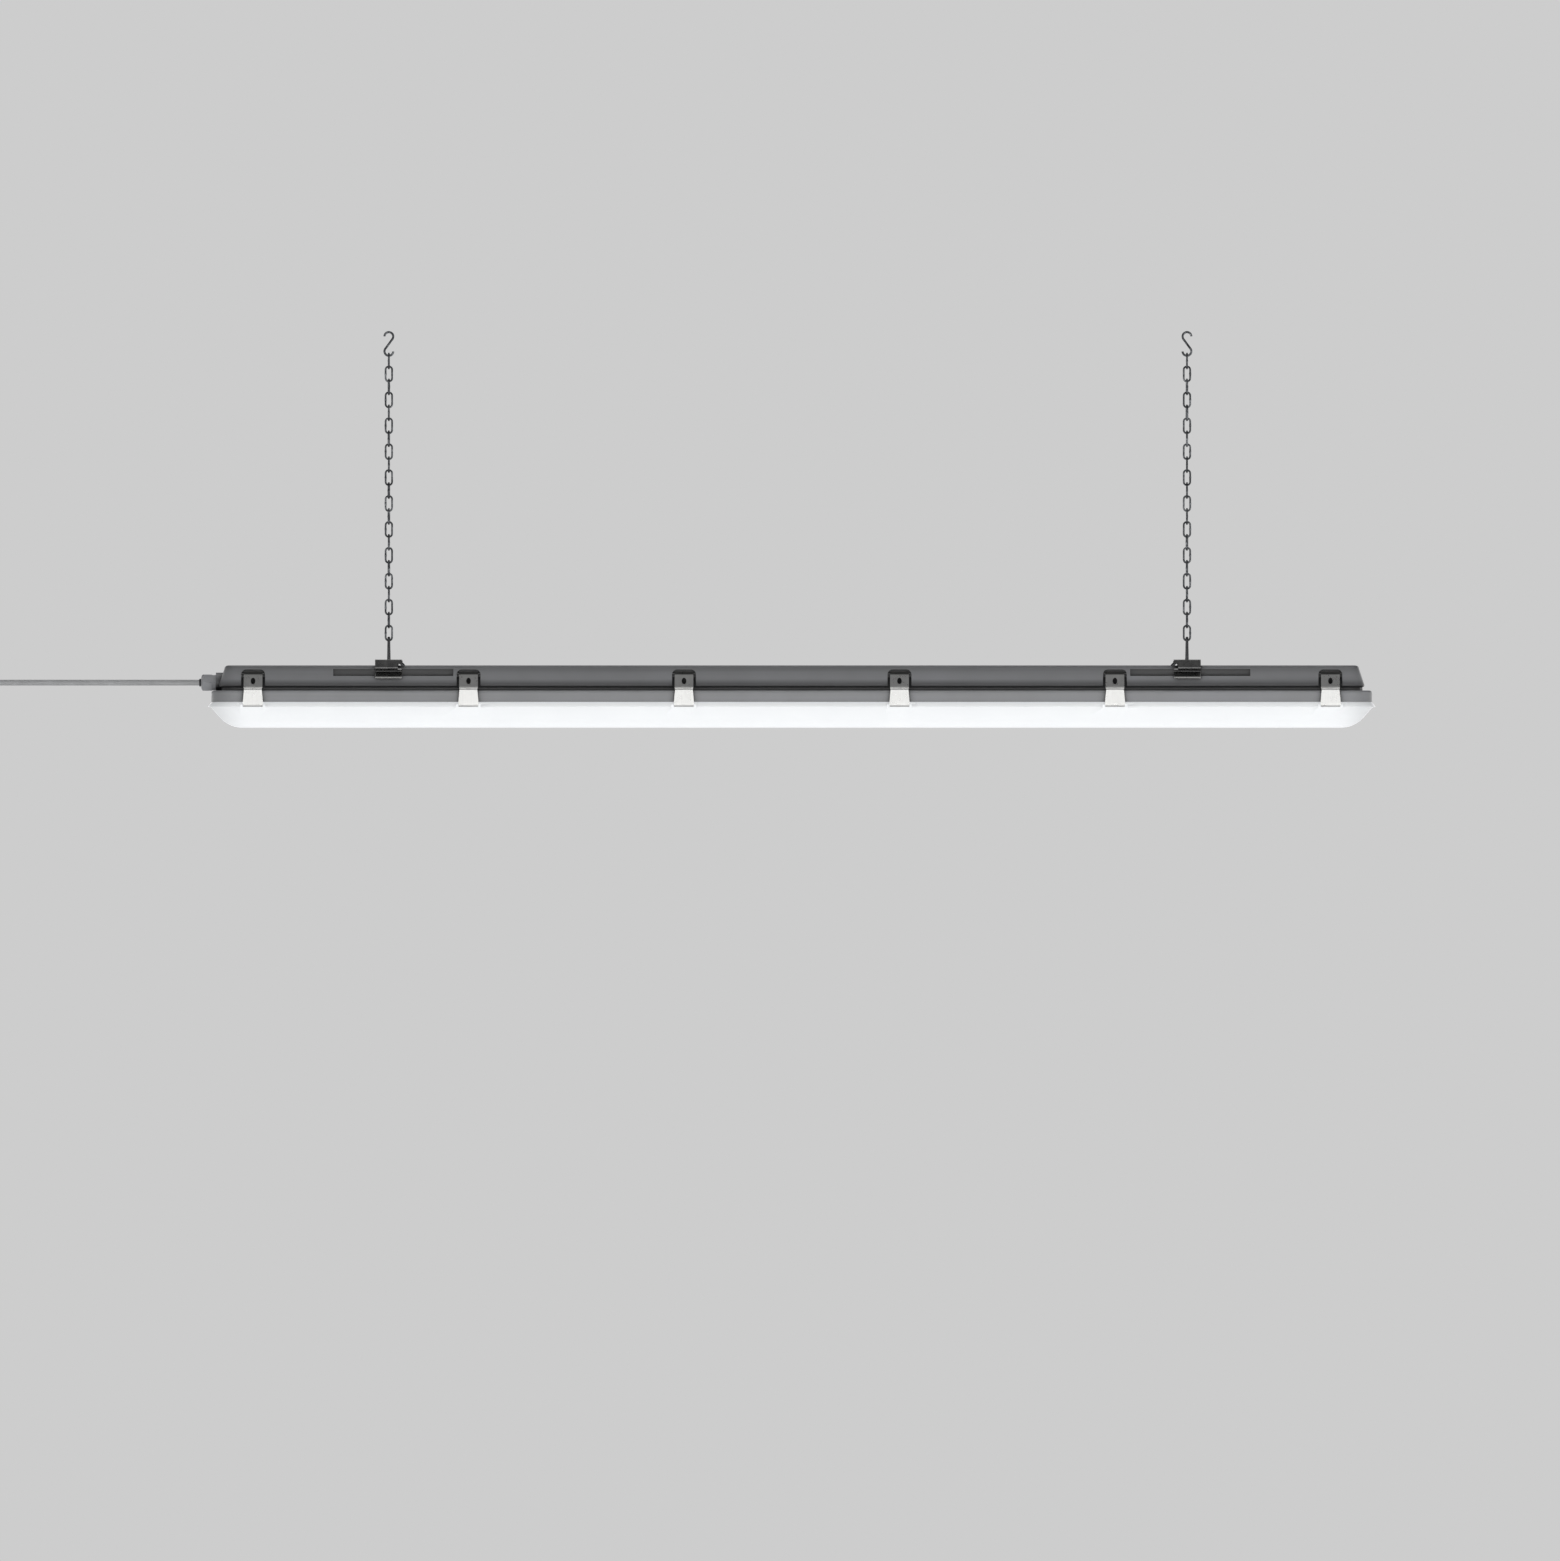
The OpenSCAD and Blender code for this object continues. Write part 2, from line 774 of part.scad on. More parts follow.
module latch(k, row) {
    tilt = atan2(latch_knee[0] - pivot_y - barrel_r + latch_t / 2, pivot_z - latch_knee[1]);
    color(steel)
        in_lamp()
            at_latch(k, row)
                difference() {
                    union() {
                        intersection() {
                            along_x(latch_lip_w + 2)
                                polygon(sheet_outline(latch_line, latch_t));
                            translate([0, 35, 0])
                                along_y(30)
                                    polygon([for (s = [1, -1]) for (p = latch_edge(s)) p]);
                        }
                        translate([0, pivot_y, pivot_z])
                            rotate([0, 90, 0])
                                cylinder(r = barrel_r, h = latch_w, center = true);
                    }
                    translate([0, pivot_y, pivot_z])
                        rotate([0, 90, 0])
                            cylinder(r = pin_r + 0.05, h = latch_w + 2, center = true);
                    translate([0, wall_y(latch_hole_z) + 1.2, latch_hole_z])
                        rotate([90 - tilt, 0, 0])
                            cylinder(r = latch_hole_r, h = 8, center = true);
                }
}

// Half of the latch's outline seen from the front, down one side and up the other.
function latch_edge(s) =
    let (down = [[latch_w / 2, pivot_z + 3], [latch_w / 2, 41.8], [latch_neck_w / 2, 40.2],
                 [latch_lip_w / 2, 25], [latch_lip_w / 2 - 0.6, 21]])
    s > 0 ? down : [for (p = backwards(down)) [-p[0], p[1]]];

module latch_pins() {
    color(steel)
        in_lamp()
            at_latches()
                translate([0, pivot_y, pivot_z])
                    rotate([0, 90, 0])
                        cylinder(r = pin_r, h = pin_len, center = true);
}

// ---------- Suspension ----------

// Half a ring of wire in the X-Z plane, over the top.
module wire_bow(r, wire_d, from, sweep) {
    rotate([90, 0, 0])
        rotate(from)
            rotate_extrude(angle = sweep)
                translate([r, 0])
                    circle(d = wire_d);
}

// One link, standing in the X-Z plane about its middle.
module link() {
    for (up = [0, 1])
        mirror([0, 0, up])
            translate([0, 0, link_straight / 2])
                wire_bow(link_bow, link_wire, 0, 180);
    for (s = [-1, 1])
        translate([s * link_bow, 0, 0])
            cylinder(d = link_wire, h = link_straight, center = true);
}

// Links first to last of one chain. The first link stands edge-on to the front.
module links(first, last) {
    for (i = [first : last])
        translate([0, 0, first_link_z - (i - 1) * link_step])
            rotate((i % 2) * 90)
                link();
}

// The shank crosses from one bow to the other and meets both smoothly.
s_tail = 215;
wire_sides = 14;

module s_hook() {
    lean = asin(2 * s_bow / s_reach);
    upper = [for (p = arc([0, s_reach / 2], s_bow, s_tail - lean, -lean, 18)) [p[0], 0, p[1]]];
    translate([0, 0, (s_top_z + s_low_z) / 2])
        tube(concat(upper, -backwards(upper)), s_wire, wire_sides, [0, 1, 0]);
}

// The legs leave the V-hook's bow along its tangents.
v_bow = 3.5;
v_foot_x = 12;
v_foot_y = 30.2;
v_tip = 6;
v_bend = 2.2;
v_foot = [v_foot_y, v_bow - v_height];
v_leave = atan2(v_foot[1], v_foot[0]) + acos(v_bow / norm(v_foot));

// One foot and its leg, from the foot's turned-down tip to the start of the bow.
function v_leg(row) =
    let (foot_end = [v_foot_x, row * v_foot_y, -v_height],
         tip = foot_end + v_tip * [cos(45), 0, -sin(45)],
         foot = [0, row * v_foot_y, -v_height],
         leave = [0, row * v_bow * cos(v_leave), v_bow * sin(v_leave) - v_bow])
    concat([tip], corner_arc(tip, foot_end, foot, v_bend),
           corner_arc(foot_end, foot, leave, v_bend));

module v_hook() {
    bow = [for (p = arc([0, -v_bow], v_bow, 180 - v_leave, v_leave, 8)) [0, p[0], p[1]]];
    color(steel)
        translate([0, 0, v_top_z])
            tube(concat(v_leg(-1), bow, backwards(v_leg(1))), v_wire, wire_sides, [0, 0, 1]);
}

// Half of the bracket's profile, from the middle of its plate to its lip, above the lamp's base.
plate_mid = top_z + plate_gap + bracket_t / 2;
bracket_half = [[32.4, plate_mid], [34.4, 62.2], [25, 59.6], [32.9, 53.2], [33.1, 51.8]];
bracket_bend = 1.1;
// The V-hook's legs pass through two slots in the plate, and a screw hole lies between them.
leg_slot = [5.2, 6.6];
leg_slot_y = 27.8;
bracket_hole_r = 2.25;
// The V-hook's turned-down tips show in a notch at the inner end of each flank.
notch_x = 9.8;
notch_y = 31.4;
notch_z = [60.8, 67];

module bracket() {
    line = bent(concat([for (p = backwards(bracket_half)) [-p[0], p[1]]], bracket_half),
                bracket_bend);
    color(steel)
        translate([0, 0, lamp_z])
            difference() {
                along_x(bracket_w)
                    polygon(sheet_outline(line, bracket_t));
                for (row = [-1, 1])
                    translate([-leg_slot[0] / 2, row * leg_slot_y - leg_slot[1] / 2,
                               top_z + plate_gap - over])
                        cube([leg_slot[0], leg_slot[1], bracket_t + 2 * over]);
                translate([0, 0, top_z + plate_gap - over])
                    cylinder(r = bracket_hole_r, h = bracket_t + 2 * over);
                for (row = [0, 1])
                    mirror([0, row, 0])
                        translate([notch_x, notch_y, notch_z[0]])
                            cube([bracket_w, 6, notch_z[1] - notch_z[0]]);
            }
}

// ---------- Cord and plug ----------

cord_sides = 10;

module power_cord() {
    color("#c9cacb")
        in_lamp()
            translate([cord_start, 0, entry_z])
                tube(cord_run, cord_d, cord_sides, [0, 0, 1]);
}

plug_neck = 26;
plug_len = 32;
plug_r = 13;
plug_flat = 10;
plug_taper = 6;
plug_face = plug_x - plug_neck - plug_len;

module plug_body() {
    color("#bfc0c1")
        in_lamp()
            translate([plug_x, 0, entry_z])
                rotate([0, -90, 0]) {
                    cylinder(r1 = cord_d / 2 + 1.2, r2 = 7.5, h = plug_neck);
                    for (i = [0 : 3])
                        translate([0, 0, 3 + i * 5])
                            cylinder(r = cord_d / 2 + 2.2 + i * 0.8, h = 2.5);
                    translate([0, 0, plug_neck])
                        cylinder(r1 = plug_r - 3.5, r2 = plug_r, h = plug_taper);
                    translate([0, 0, plug_neck + plug_taper])
                        intersection() {
                            cylinder(r = plug_r, h = plug_len - plug_taper);
                            translate([-plug_flat, -plug_r, 0])
                                cube([plug_flat + plug_r, 2 * plug_r, plug_len - plug_taper]);
                        }
                }
}

blade_len = 17.5;
blade = [1.5, 6.4];
blade_gap = 12.7;
ground_drop = 11.9;
ground_r = 2.4;
ground_len = 20.5;

module plug_blades() {
    color("#c8b26a")
        in_lamp()
            for (y = [-blade_gap / 2, blade_gap / 2])
                translate([plug_face - blade_len, y - blade[0] / 2,
                           entry_z - blade[1] / 2 - ground_drop / 3])
                    cube([blade_len, blade[0], blade[1]]);
}

module plug_ground_pin() {
    color("#c8b26a")
        in_lamp()
            translate([plug_face, 0, entry_z + ground_drop * 2 / 3])
                rotate([0, -90, 0])
                    cylinder(r = ground_r, h = ground_len);
}

// ---------- Pieces ----------

module latch_front(k) { latch(k, -1); }
module latch_rear(k) { latch(k, 1); }

// dir is -1 at the left chain and 1 at the right one, which is the left one's mirror image.
module at_chain(dir) {
    translate([dir * chain_x, 0, 0])
        mirror([dir > 0 ? 1 : 0, 0, 0])
            children();
}

housing();
diffuser();
gasket();
gear_tray();
tray_screws();
led_board(-1);  // led_board_left
led_board(1);  // led_board_right
leds();
driver_case();
driver_cover();
terminal_block();
inner_leads();
inner_cable();
gland_body();
gland_nut();
gland_seal();
gland_locknut();
latch_pins();
latch_front(1);  // latch_front_1
latch_front(2);  // latch_front_2
latch_front(3);  // latch_front_3
latch_front(4);  // latch_front_4
latch_front(5);  // latch_front_5
latch_front(6);  // latch_front_6
latch_rear(1);  // latch_rear_1
latch_rear(2);  // latch_rear_2
latch_rear(3);  // latch_rear_3
latch_rear(4);  // latch_rear_4
latch_rear(5);  // latch_rear_5
latch_rear(6);  // latch_rear_6
at_chain(-1) color(dark_steel) s_hook();  // s_hook_left
at_chain(1) color(dark_steel) s_hook();  // s_hook_right
at_chain(-1) color(dark_steel) links(1, 1);  // top_link_left
at_chain(1) color(dark_steel) links(1, 1);  // top_link_right
at_chain(-1) color(dark_steel) links(2, link_count - 1);  // chain_left
at_chain(1) color(dark_steel) links(2, link_count - 1);  // chain_right
at_chain(-1) color(dark_steel) links(link_count, link_count);  // end_link_left
at_chain(1) color(dark_steel) links(link_count, link_count);  // end_link_right
at_chain(-1) v_hook();  // v_hook_left
at_chain(1) v_hook();  // v_hook_right
at_chain(-1) bracket();  // bracket_left
at_chain(1) bracket();  // bracket_right
power_cord();
plug_body();
plug_blades();
plug_ground_pin();
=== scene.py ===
import math
import random

import bpy
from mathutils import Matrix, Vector


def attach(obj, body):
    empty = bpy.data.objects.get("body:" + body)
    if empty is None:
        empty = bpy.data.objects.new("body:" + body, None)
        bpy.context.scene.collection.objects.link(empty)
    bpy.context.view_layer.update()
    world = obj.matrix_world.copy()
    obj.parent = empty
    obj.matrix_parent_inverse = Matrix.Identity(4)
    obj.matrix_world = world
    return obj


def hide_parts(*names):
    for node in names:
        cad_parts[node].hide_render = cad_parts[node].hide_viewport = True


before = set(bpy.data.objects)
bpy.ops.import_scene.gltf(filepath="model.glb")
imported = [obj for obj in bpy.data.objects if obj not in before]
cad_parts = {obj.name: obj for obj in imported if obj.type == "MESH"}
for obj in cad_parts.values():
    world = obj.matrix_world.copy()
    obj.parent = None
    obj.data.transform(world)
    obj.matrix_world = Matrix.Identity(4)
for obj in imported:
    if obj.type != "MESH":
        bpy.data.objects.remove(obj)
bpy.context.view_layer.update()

# A weatherproof shop light on two chains. Sizes are in millimetres, as in the part's source,
# and turn to metres where a piece is made.
MM = 0.001

# The lamp's middle, at the height of the diffuser's lowest point. The lamp hangs 4 mm to the
# right of the middle between its chains, and CHAIN_X is the distance from there to each.
LAMP = Vector((4, 0, -414.15))
CHAIN_X = 419

# ---------- Camera ----------

# The photograph is level and square to the lamp and shows next to no convergence, so the camera
# stands far off with a long lens. The frame's width, its middle and the distance are in metres.
VIEW_WIDTH = 1.638
VIEW_MIDDLE = (-0.0083, -0.4696)
VIEW_DISTANCE = 30.0
SENSOR = 36.0

eye = bpy.data.cameras.new("eye")
eye.sensor_fit = "HORIZONTAL"
eye.sensor_width = SENSOR
eye.lens = SENSOR * VIEW_DISTANCE / VIEW_WIDTH
eye.clip_end = 100
camera = bpy.data.objects.new("camera", eye)
camera.location = (VIEW_MIDDLE[0], -VIEW_DISTANCE, VIEW_MIDDLE[1])
camera.rotation_euler = (math.radians(90), 0, 0)
bpy.context.scene.collection.objects.link(camera)
bpy.context.scene.camera = camera
bpy.context.scene.view_settings.view_transform = "Standard"


# ---------- Helpers ----------

def linear(code):
    """A colour from its sRGB hex code, as the linear values that a shader takes."""
    parts = [int(code[k:k + 2], 16) / 255 for k in (1, 3, 5)]
    return tuple(p / 12.92 if p <= 0.04045 else ((p + 0.055) / 1.055) ** 2.4
                 for p in parts) + (1.0,)


def per(size):
    """How often a pattern of a size in millimetres repeats in a metre."""
    return 1 / (size * MM)


def add(tree, kind, sockets=None, stops=None, **settings):
    """Adds a node with its settings, its sockets' values or links, and a ramp's stops."""
    node = tree.nodes.new(kind)
    for name, value in settings.items():
        setattr(node, name, value)
    if stops:
        ramp = node.color_ramp
        while len(ramp.elements) < len(stops):
            ramp.elements.new(1)
        for element, (place, colour) in zip(ramp.elements, stops):
            element.position = place
            element.color = colour
    for key, value in (sockets or {}).items():
        if isinstance(value, bpy.types.NodeSocket):
            tree.links.new(value, node.inputs[key])
        else:
            node.inputs[key].default_value = value
    return node


def begin(name):
    """A new material with no nodes, and the place on the piece that its patterns follow."""
    made = bpy.data.materials.new(name)
    made.use_nodes = True
    made.node_tree.nodes.clear()
    place = add(made.node_tree, "ShaderNodeTexCoord").outputs["Object"]
    return made, made.node_tree, place


def grey(level):
    """A linear grey, for how much of a colour or a glow a ramp lets through."""
    return (level, level, level, 1.0)


def show(name, data, material, body, slot, *stands_for):
    """Puts a finished mesh or curve in the scene, on its body, in place of its plain solids."""
    piece = bpy.data.objects.new(name, data)
    bpy.context.scene.collection.objects.link(piece)
    data.materials.append(material)
    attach(piece, body)
    if stands_for:
        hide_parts(*stands_for)
    return piece


def skin(name, points, faces, crease=35):
    """A mesh from points in millimetres, smooth apart from edges sharper than the crease."""
    mesh = bpy.data.meshes.new(name)
    mesh.from_pydata([Vector(p) * MM for p in points], [], faces)
    mesh.validate()
    mesh.polygons.foreach_set("use_smooth", [True] * len(mesh.polygons))
    mesh.set_sharp_from_angle(angle=math.radians(crease))
    return mesh


def rings_to_faces(rings, sides):
    """The faces that join a number of rings in turn, with a cap at each end."""
    faces = []
    for k in range(rings - 1):
        here = k * sides
        ahead = here + sides
        for i in range(sides):
            j = (i + 1) % sides
            faces.append((here + i, here + j, ahead + j, ahead + i))
    faces.append(tuple(range(sides))[::-1])
    faces.append(tuple((rings - 1) * sides + i for i in range(sides)))
    return faces


def wire(name, runs, diameter, sides):
    """Round wire along one or more runs. A run is its points, each with the share of the
    thickness that the wire has there, and whether it closes up."""
    curve = bpy.data.curves.new(name, "CURVE")
    curve.dimensions = "3D"
    curve.bevel_depth = diameter / 2 * MM
    curve.bevel_resolution = (sides - 4) // 2
    curve.use_fill_caps = True
    for points, closed in runs:
        spline = curve.splines.new("POLY")
        spline.points.add(len(points) - 1)
        spline.use_cyclic_u = closed
        for bead, (point, share) in zip(spline.points, points):
            bead.co = (*(Vector(point) * MM), 1)
            bead.radius = share
    return curve


def arc(centre, radius, start, end, steps):
    """Points on an arc in a flat outline, with angles in degrees."""
    angles = [math.radians(start + (end - start) * k / steps) for k in range(steps + 1)]
    return [(centre[0] + radius * math.cos(a), centre[1] + radius * math.sin(a))
            for a in angles]


def rounded(points, radius, steps=10):
    """A bent line through 3-D points with each inner corner rounded."""
    line = [Vector(points[0])]
    for before, corner, after in zip(points, points[1:], points[2:]):
        corner = Vector(corner)
        u = (Vector(before) - corner).normalized()
        v = (Vector(after) - corner).normalized()
        half = math.acos(max(-1, min(1, u.dot(v)))) / 2
        centre = corner + (u + v).normalized() * radius / math.sin(half)
        start = corner + u * radius / math.tan(half) - centre
        end = corner + v * radius / math.tan(half) - centre
        sweep = math.pi - 2 * half
        for k in range(steps + 1):
            a = sweep * k / steps
            line.append(centre + (start * math.sin(sweep - a) + end * math.sin(a))
                        / math.sin(sweep))
    line.append(Vector(points[-1]))
    return line


def cut_ends(points):
    """Wire thickness along a run whose two ends were sheared and lightly chamfered."""
    chamfer, face = 0.35, 0.7
    first = points[0].lerp(points[1], chamfer)
    last = points[-1].lerp(points[-2], chamfer)
    return ([(points[0], face), (first, 1.0)] + [(p, 1.0) for p in points[1:-1]]
            + [(last, 1.0), (points[-1], face)])


# ---------- Finishes ----------

# Where painted shade, a painted highlight and the glow lie on the lamp, in millimetres out from
# its
# middle and up from its lowest point: the heights between which shade is painted on the
# housing, the brackets' grooves with half of their length and height, where shade is painted,
# the height of the brackets' lower edge, which gets a painted highlight, the latches' hinge,
# where shade is painted, and the height and lengths over which the diffuser's glow changes.
SHADED_LOW = 36
SHADED_HIGH = 66
GROOVE_X = 418
GROOVE_Y = 24.5
GROOVE_Z = 57.95
GROOVE_HALF_LENGTH = 64
GROOVE_HALF_HEIGHT = 3.8
PAINTED_HIGHLIGHT_Z = 53.3
HINGE_Y = 26.9
HINGE_Z = 57
GLOW_TOP = 24
GLOW_FADES_FROM = 566
RIM_END = 611


def spark_eroded_polycarbonate():
    """Grey polycarbonate from a spark-eroded mould: even and satin, with a fine grain that
    breaks up the highlight, faint flow streaks along the lamp, and painted shade in corners and
    by height."""
    made, tree, place = begin("spark_eroded_polycarbonate")
    # The plastic cooled unevenly, which leaves clouds some 45 mm across.
    cloud = add(tree, "ShaderNodeTexNoise", {"Vector": place, "Scale": per(45), "Detail": 4})
    # The melt ran along the mould, so the streaks are some 300 mm long and 6 mm wide.
    along = add(tree, "ShaderNodeMapping",
                {"Vector": place, "Scale": (per(300), per(6), per(6))})
    streak = add(tree, "ShaderNodeTexNoise", {"Vector": along.outputs[0], "Scale": 1,
                                              "Detail": 3})
    tone = add(tree, "ShaderNodeMath", {0: cloud.outputs["Fac"], 1: streak.outputs["Fac"]},
               operation="ADD")
    half = add(tree, "ShaderNodeMath", {0: tone.outputs[0], 1: 0.5}, operation="MULTIPLY")
    colour = add(tree, "ShaderNodeValToRGB", {"Fac": half.outputs[0]},
                 stops=[(0.3, linear("#898A8C")), (0.5, linear("#8F9092")),
                        (0.72, linear("#95969A"))])
    # Shade is painted in the corners, grooves and recesses, within about 9 mm, by ambient
    # occlusion.
    corners = add(tree, "ShaderNodeAmbientOcclusion", {"Distance": 9 * MM}, samples=8)
    painted_shade = add(tree, "ShaderNodeValToRGB", {"Fac": corners.outputs["AO"]},
                stops=[(0.3, grey(0.14)), (0.62, grey(0.45)), (0.95, grey(1.0))])
    with_corner_shade = add(tree, "ShaderNodeMix",
                {0: 1.0, 6: colour.outputs["Color"], 7: painted_shade.outputs["Color"]},
                data_type="RGBA", blend_type="MULTIPLY")
    # Painted shade by height: the wall is darker than the skirt, darkest just above its foot,
    # and darker again towards its top.
    parts = add(tree, "ShaderNodeSeparateXYZ", {"Vector": place})
    level = add(tree, "ShaderNodeMapRange",
                {"Value": parts.outputs["Z"], "From Min": (LAMP.z + SHADED_LOW) * MM,
                 "From Max": (LAMP.z + SHADED_HIGH) * MM})
    runs = add(tree, "ShaderNodeValToRGB", {"Fac": level.outputs[0]},
               stops=[(0.07, grey(1.0)), (0.13, grey(0.55)), (0.17, grey(0.2)),
                      (0.26, grey(0.24)), (0.35, grey(0.42)), (0.42, grey(0.6)),
                      (0.5, grey(0.82)), (0.62, grey(0.82)), (0.75, grey(0.74)),
                      (0.88, grey(0.54))])
    with_height_shade = add(tree, "ShaderNodeMix",
                   {0: 1.0, 6: with_corner_shade.outputs[2], 7: runs.outputs["Color"]},
                   data_type="RGBA", blend_type="MULTIPLY")
    # Shade is painted on the floors of the grooves that the brackets slide in.
    depth = add(tree, "ShaderNodeMath", {0: parts.outputs["Y"]}, operation="ABSOLUTE")
    floor_side = add(tree, "ShaderNodeMapRange",
                     {"Value": depth.outputs[0], "From Min": (GROOVE_Y + 0.15) * MM,
                      "From Max": (GROOVE_Y + 0.6) * MM, "To Min": 1.0, "To Max": 0.0})
    aside = add(tree, "ShaderNodeMath", {0: parts.outputs["X"], 1: LAMP.x * MM},
                operation="SUBTRACT")
    reach = add(tree, "ShaderNodeMath", {0: aside.outputs[0]}, operation="ABSOLUTE")
    along_groove = add(tree, "ShaderNodeMath",
                       {0: reach.outputs[0], 1: GROOVE_X * MM, 2: GROOVE_HALF_LENGTH * MM},
                       operation="COMPARE")
    in_groove = add(tree, "ShaderNodeMath",
                    {0: parts.outputs["Z"], 1: (LAMP.z + GROOVE_Z) * MM,
                     2: GROOVE_HALF_HEIGHT * MM}, operation="COMPARE")
    walled = add(tree, "ShaderNodeMath",
                 {0: along_groove.outputs[0], 1: in_groove.outputs[0]}, operation="MULTIPLY")
    painted_mark = add(tree, "ShaderNodeMath",
                 {0: floor_side.outputs[0], 1: walled.outputs[0]}, operation="MULTIPLY")
    groove_shade = add(tree, "ShaderNodeMapRange",
                 {"Value": painted_mark.outputs[0], "To Min": 1.0, "To Max": 0.27})
    with_painted_shade = add(tree, "ShaderNodeMix",
               {0: 1.0, 6: with_height_shade.outputs[2], 7: groove_shade.outputs[0]},
               data_type="RGBA", blend_type="MULTIPLY")
    gloss = add(tree, "ShaderNodeMapRange", {"Value": streak.outputs["Fac"], "From Min": 0.3,
                                             "From Max": 0.7, "To Min": 0.4, "To Max": 0.52})
    # The real grain is 0.05 mm; it is drawn at 0.9 mm, or the render wouldn't show it.
    grain = add(tree, "ShaderNodeTexNoise", {"Vector": place, "Scale": per(0.9), "Detail": 2})
    relief = add(tree, "ShaderNodeBump", {"Height": grain.outputs["Fac"], "Strength": 0.25,
                                          "Distance": 0.08 * MM})
    shader = add(tree, "ShaderNodeBsdfPrincipled",
                 {"Base Color": with_painted_shade.outputs[2], "Roughness": gloss.outputs[0],
                  "Normal": relief.outputs[0], "IOR": 1.585})
    add(tree, "ShaderNodeOutputMaterial", {"Surface": shader.outputs["BSDF"]})
    return made


def opal_polycarbonate():
    """Opal polycarbonate, lit from inside: the light boards behind it make the bottom the
    brightest part, and the rim, where no light reaches, is a plainer white."""
    made, tree, place = begin("opal_polycarbonate")
    parts = add(tree, "ShaderNodeSeparateXYZ", {"Vector": place})
    # The wall's thickness varies a little, in clouds some 38 mm across.
    cloud = add(tree, "ShaderNodeTexNoise", {"Vector": place, "Scale": per(38), "Detail": 3})
    colour = add(tree, "ShaderNodeValToRGB", {"Fac": cloud.outputs["Fac"]},
                 stops=[(0.3, linear("#CDCFD0")), (0.7, linear("#D3D5D5"))])
    level = add(tree, "ShaderNodeMapRange",
                {"Value": parts.outputs["Z"], "From Min": LAMP.z * MM,
                 "From Max": (LAMP.z + GLOW_TOP) * MM})
    height = add(tree, "ShaderNodeValToRGB", {"Fac": level.outputs[0]},
                 stops=[(0.08, grey(1.0)), (0.33, grey(0.86)), (0.85, grey(0.8)),
                        (1.0, grey(0.66))])
    aside = add(tree, "ShaderNodeMath", {0: parts.outputs["X"], 1: LAMP.x * MM},
                operation="SUBTRACT")
    reach = add(tree, "ShaderNodeMath", {0: aside.outputs[0]}, operation="ABSOLUTE")
    # The boards end 30 mm short of the rim's ends, where the glow falls off.
    ends = add(tree, "ShaderNodeMapRange",
               {"Value": reach.outputs[0], "From Min": GLOW_FADES_FROM * MM,
                "From Max": RIM_END * MM, "To Min": 1.0, "To Max": 0.7},
               interpolation_type="SMOOTHSTEP")
    glow = add(tree, "ShaderNodeMath", {0: height.outputs["Color"], 1: ends.outputs[0]},
               operation="MULTIPLY")
    glow_colour = add(tree, "ShaderNodeValToRGB", {"Fac": glow.outputs[0]},
                      stops=[(0.0, grey(0.0)), (1.0, linear("#FAFCFF"))])
    # The moulding's faint orange peel is some 0.5 mm across; it is drawn at 2 mm, to show.
    peel = add(tree, "ShaderNodeTexNoise", {"Vector": place, "Scale": per(2), "Detail": 2})
    relief = add(tree, "ShaderNodeBump", {"Height": peel.outputs["Fac"], "Strength": 0.12,
                                          "Distance": 0.05 * MM})
    gloss = add(tree, "ShaderNodeMapRange", {"Value": cloud.outputs["Fac"], "From Min": 0.3,
                                             "From Max": 0.7, "To Min": 0.3, "To Max": 0.38})
    shader = add(tree, "ShaderNodeBsdfPrincipled",
                 {"Base Color": colour.outputs["Color"], "Roughness": gloss.outputs[0],
                  "Normal": relief.outputs[0], "IOR": 1.585,
                  "Emission Color": glow_colour.outputs["Color"], "Emission Strength": 0.56})
    add(tree, "ShaderNodeOutputMaterial", {"Surface": shader.outputs["BSDF"]})
    return made


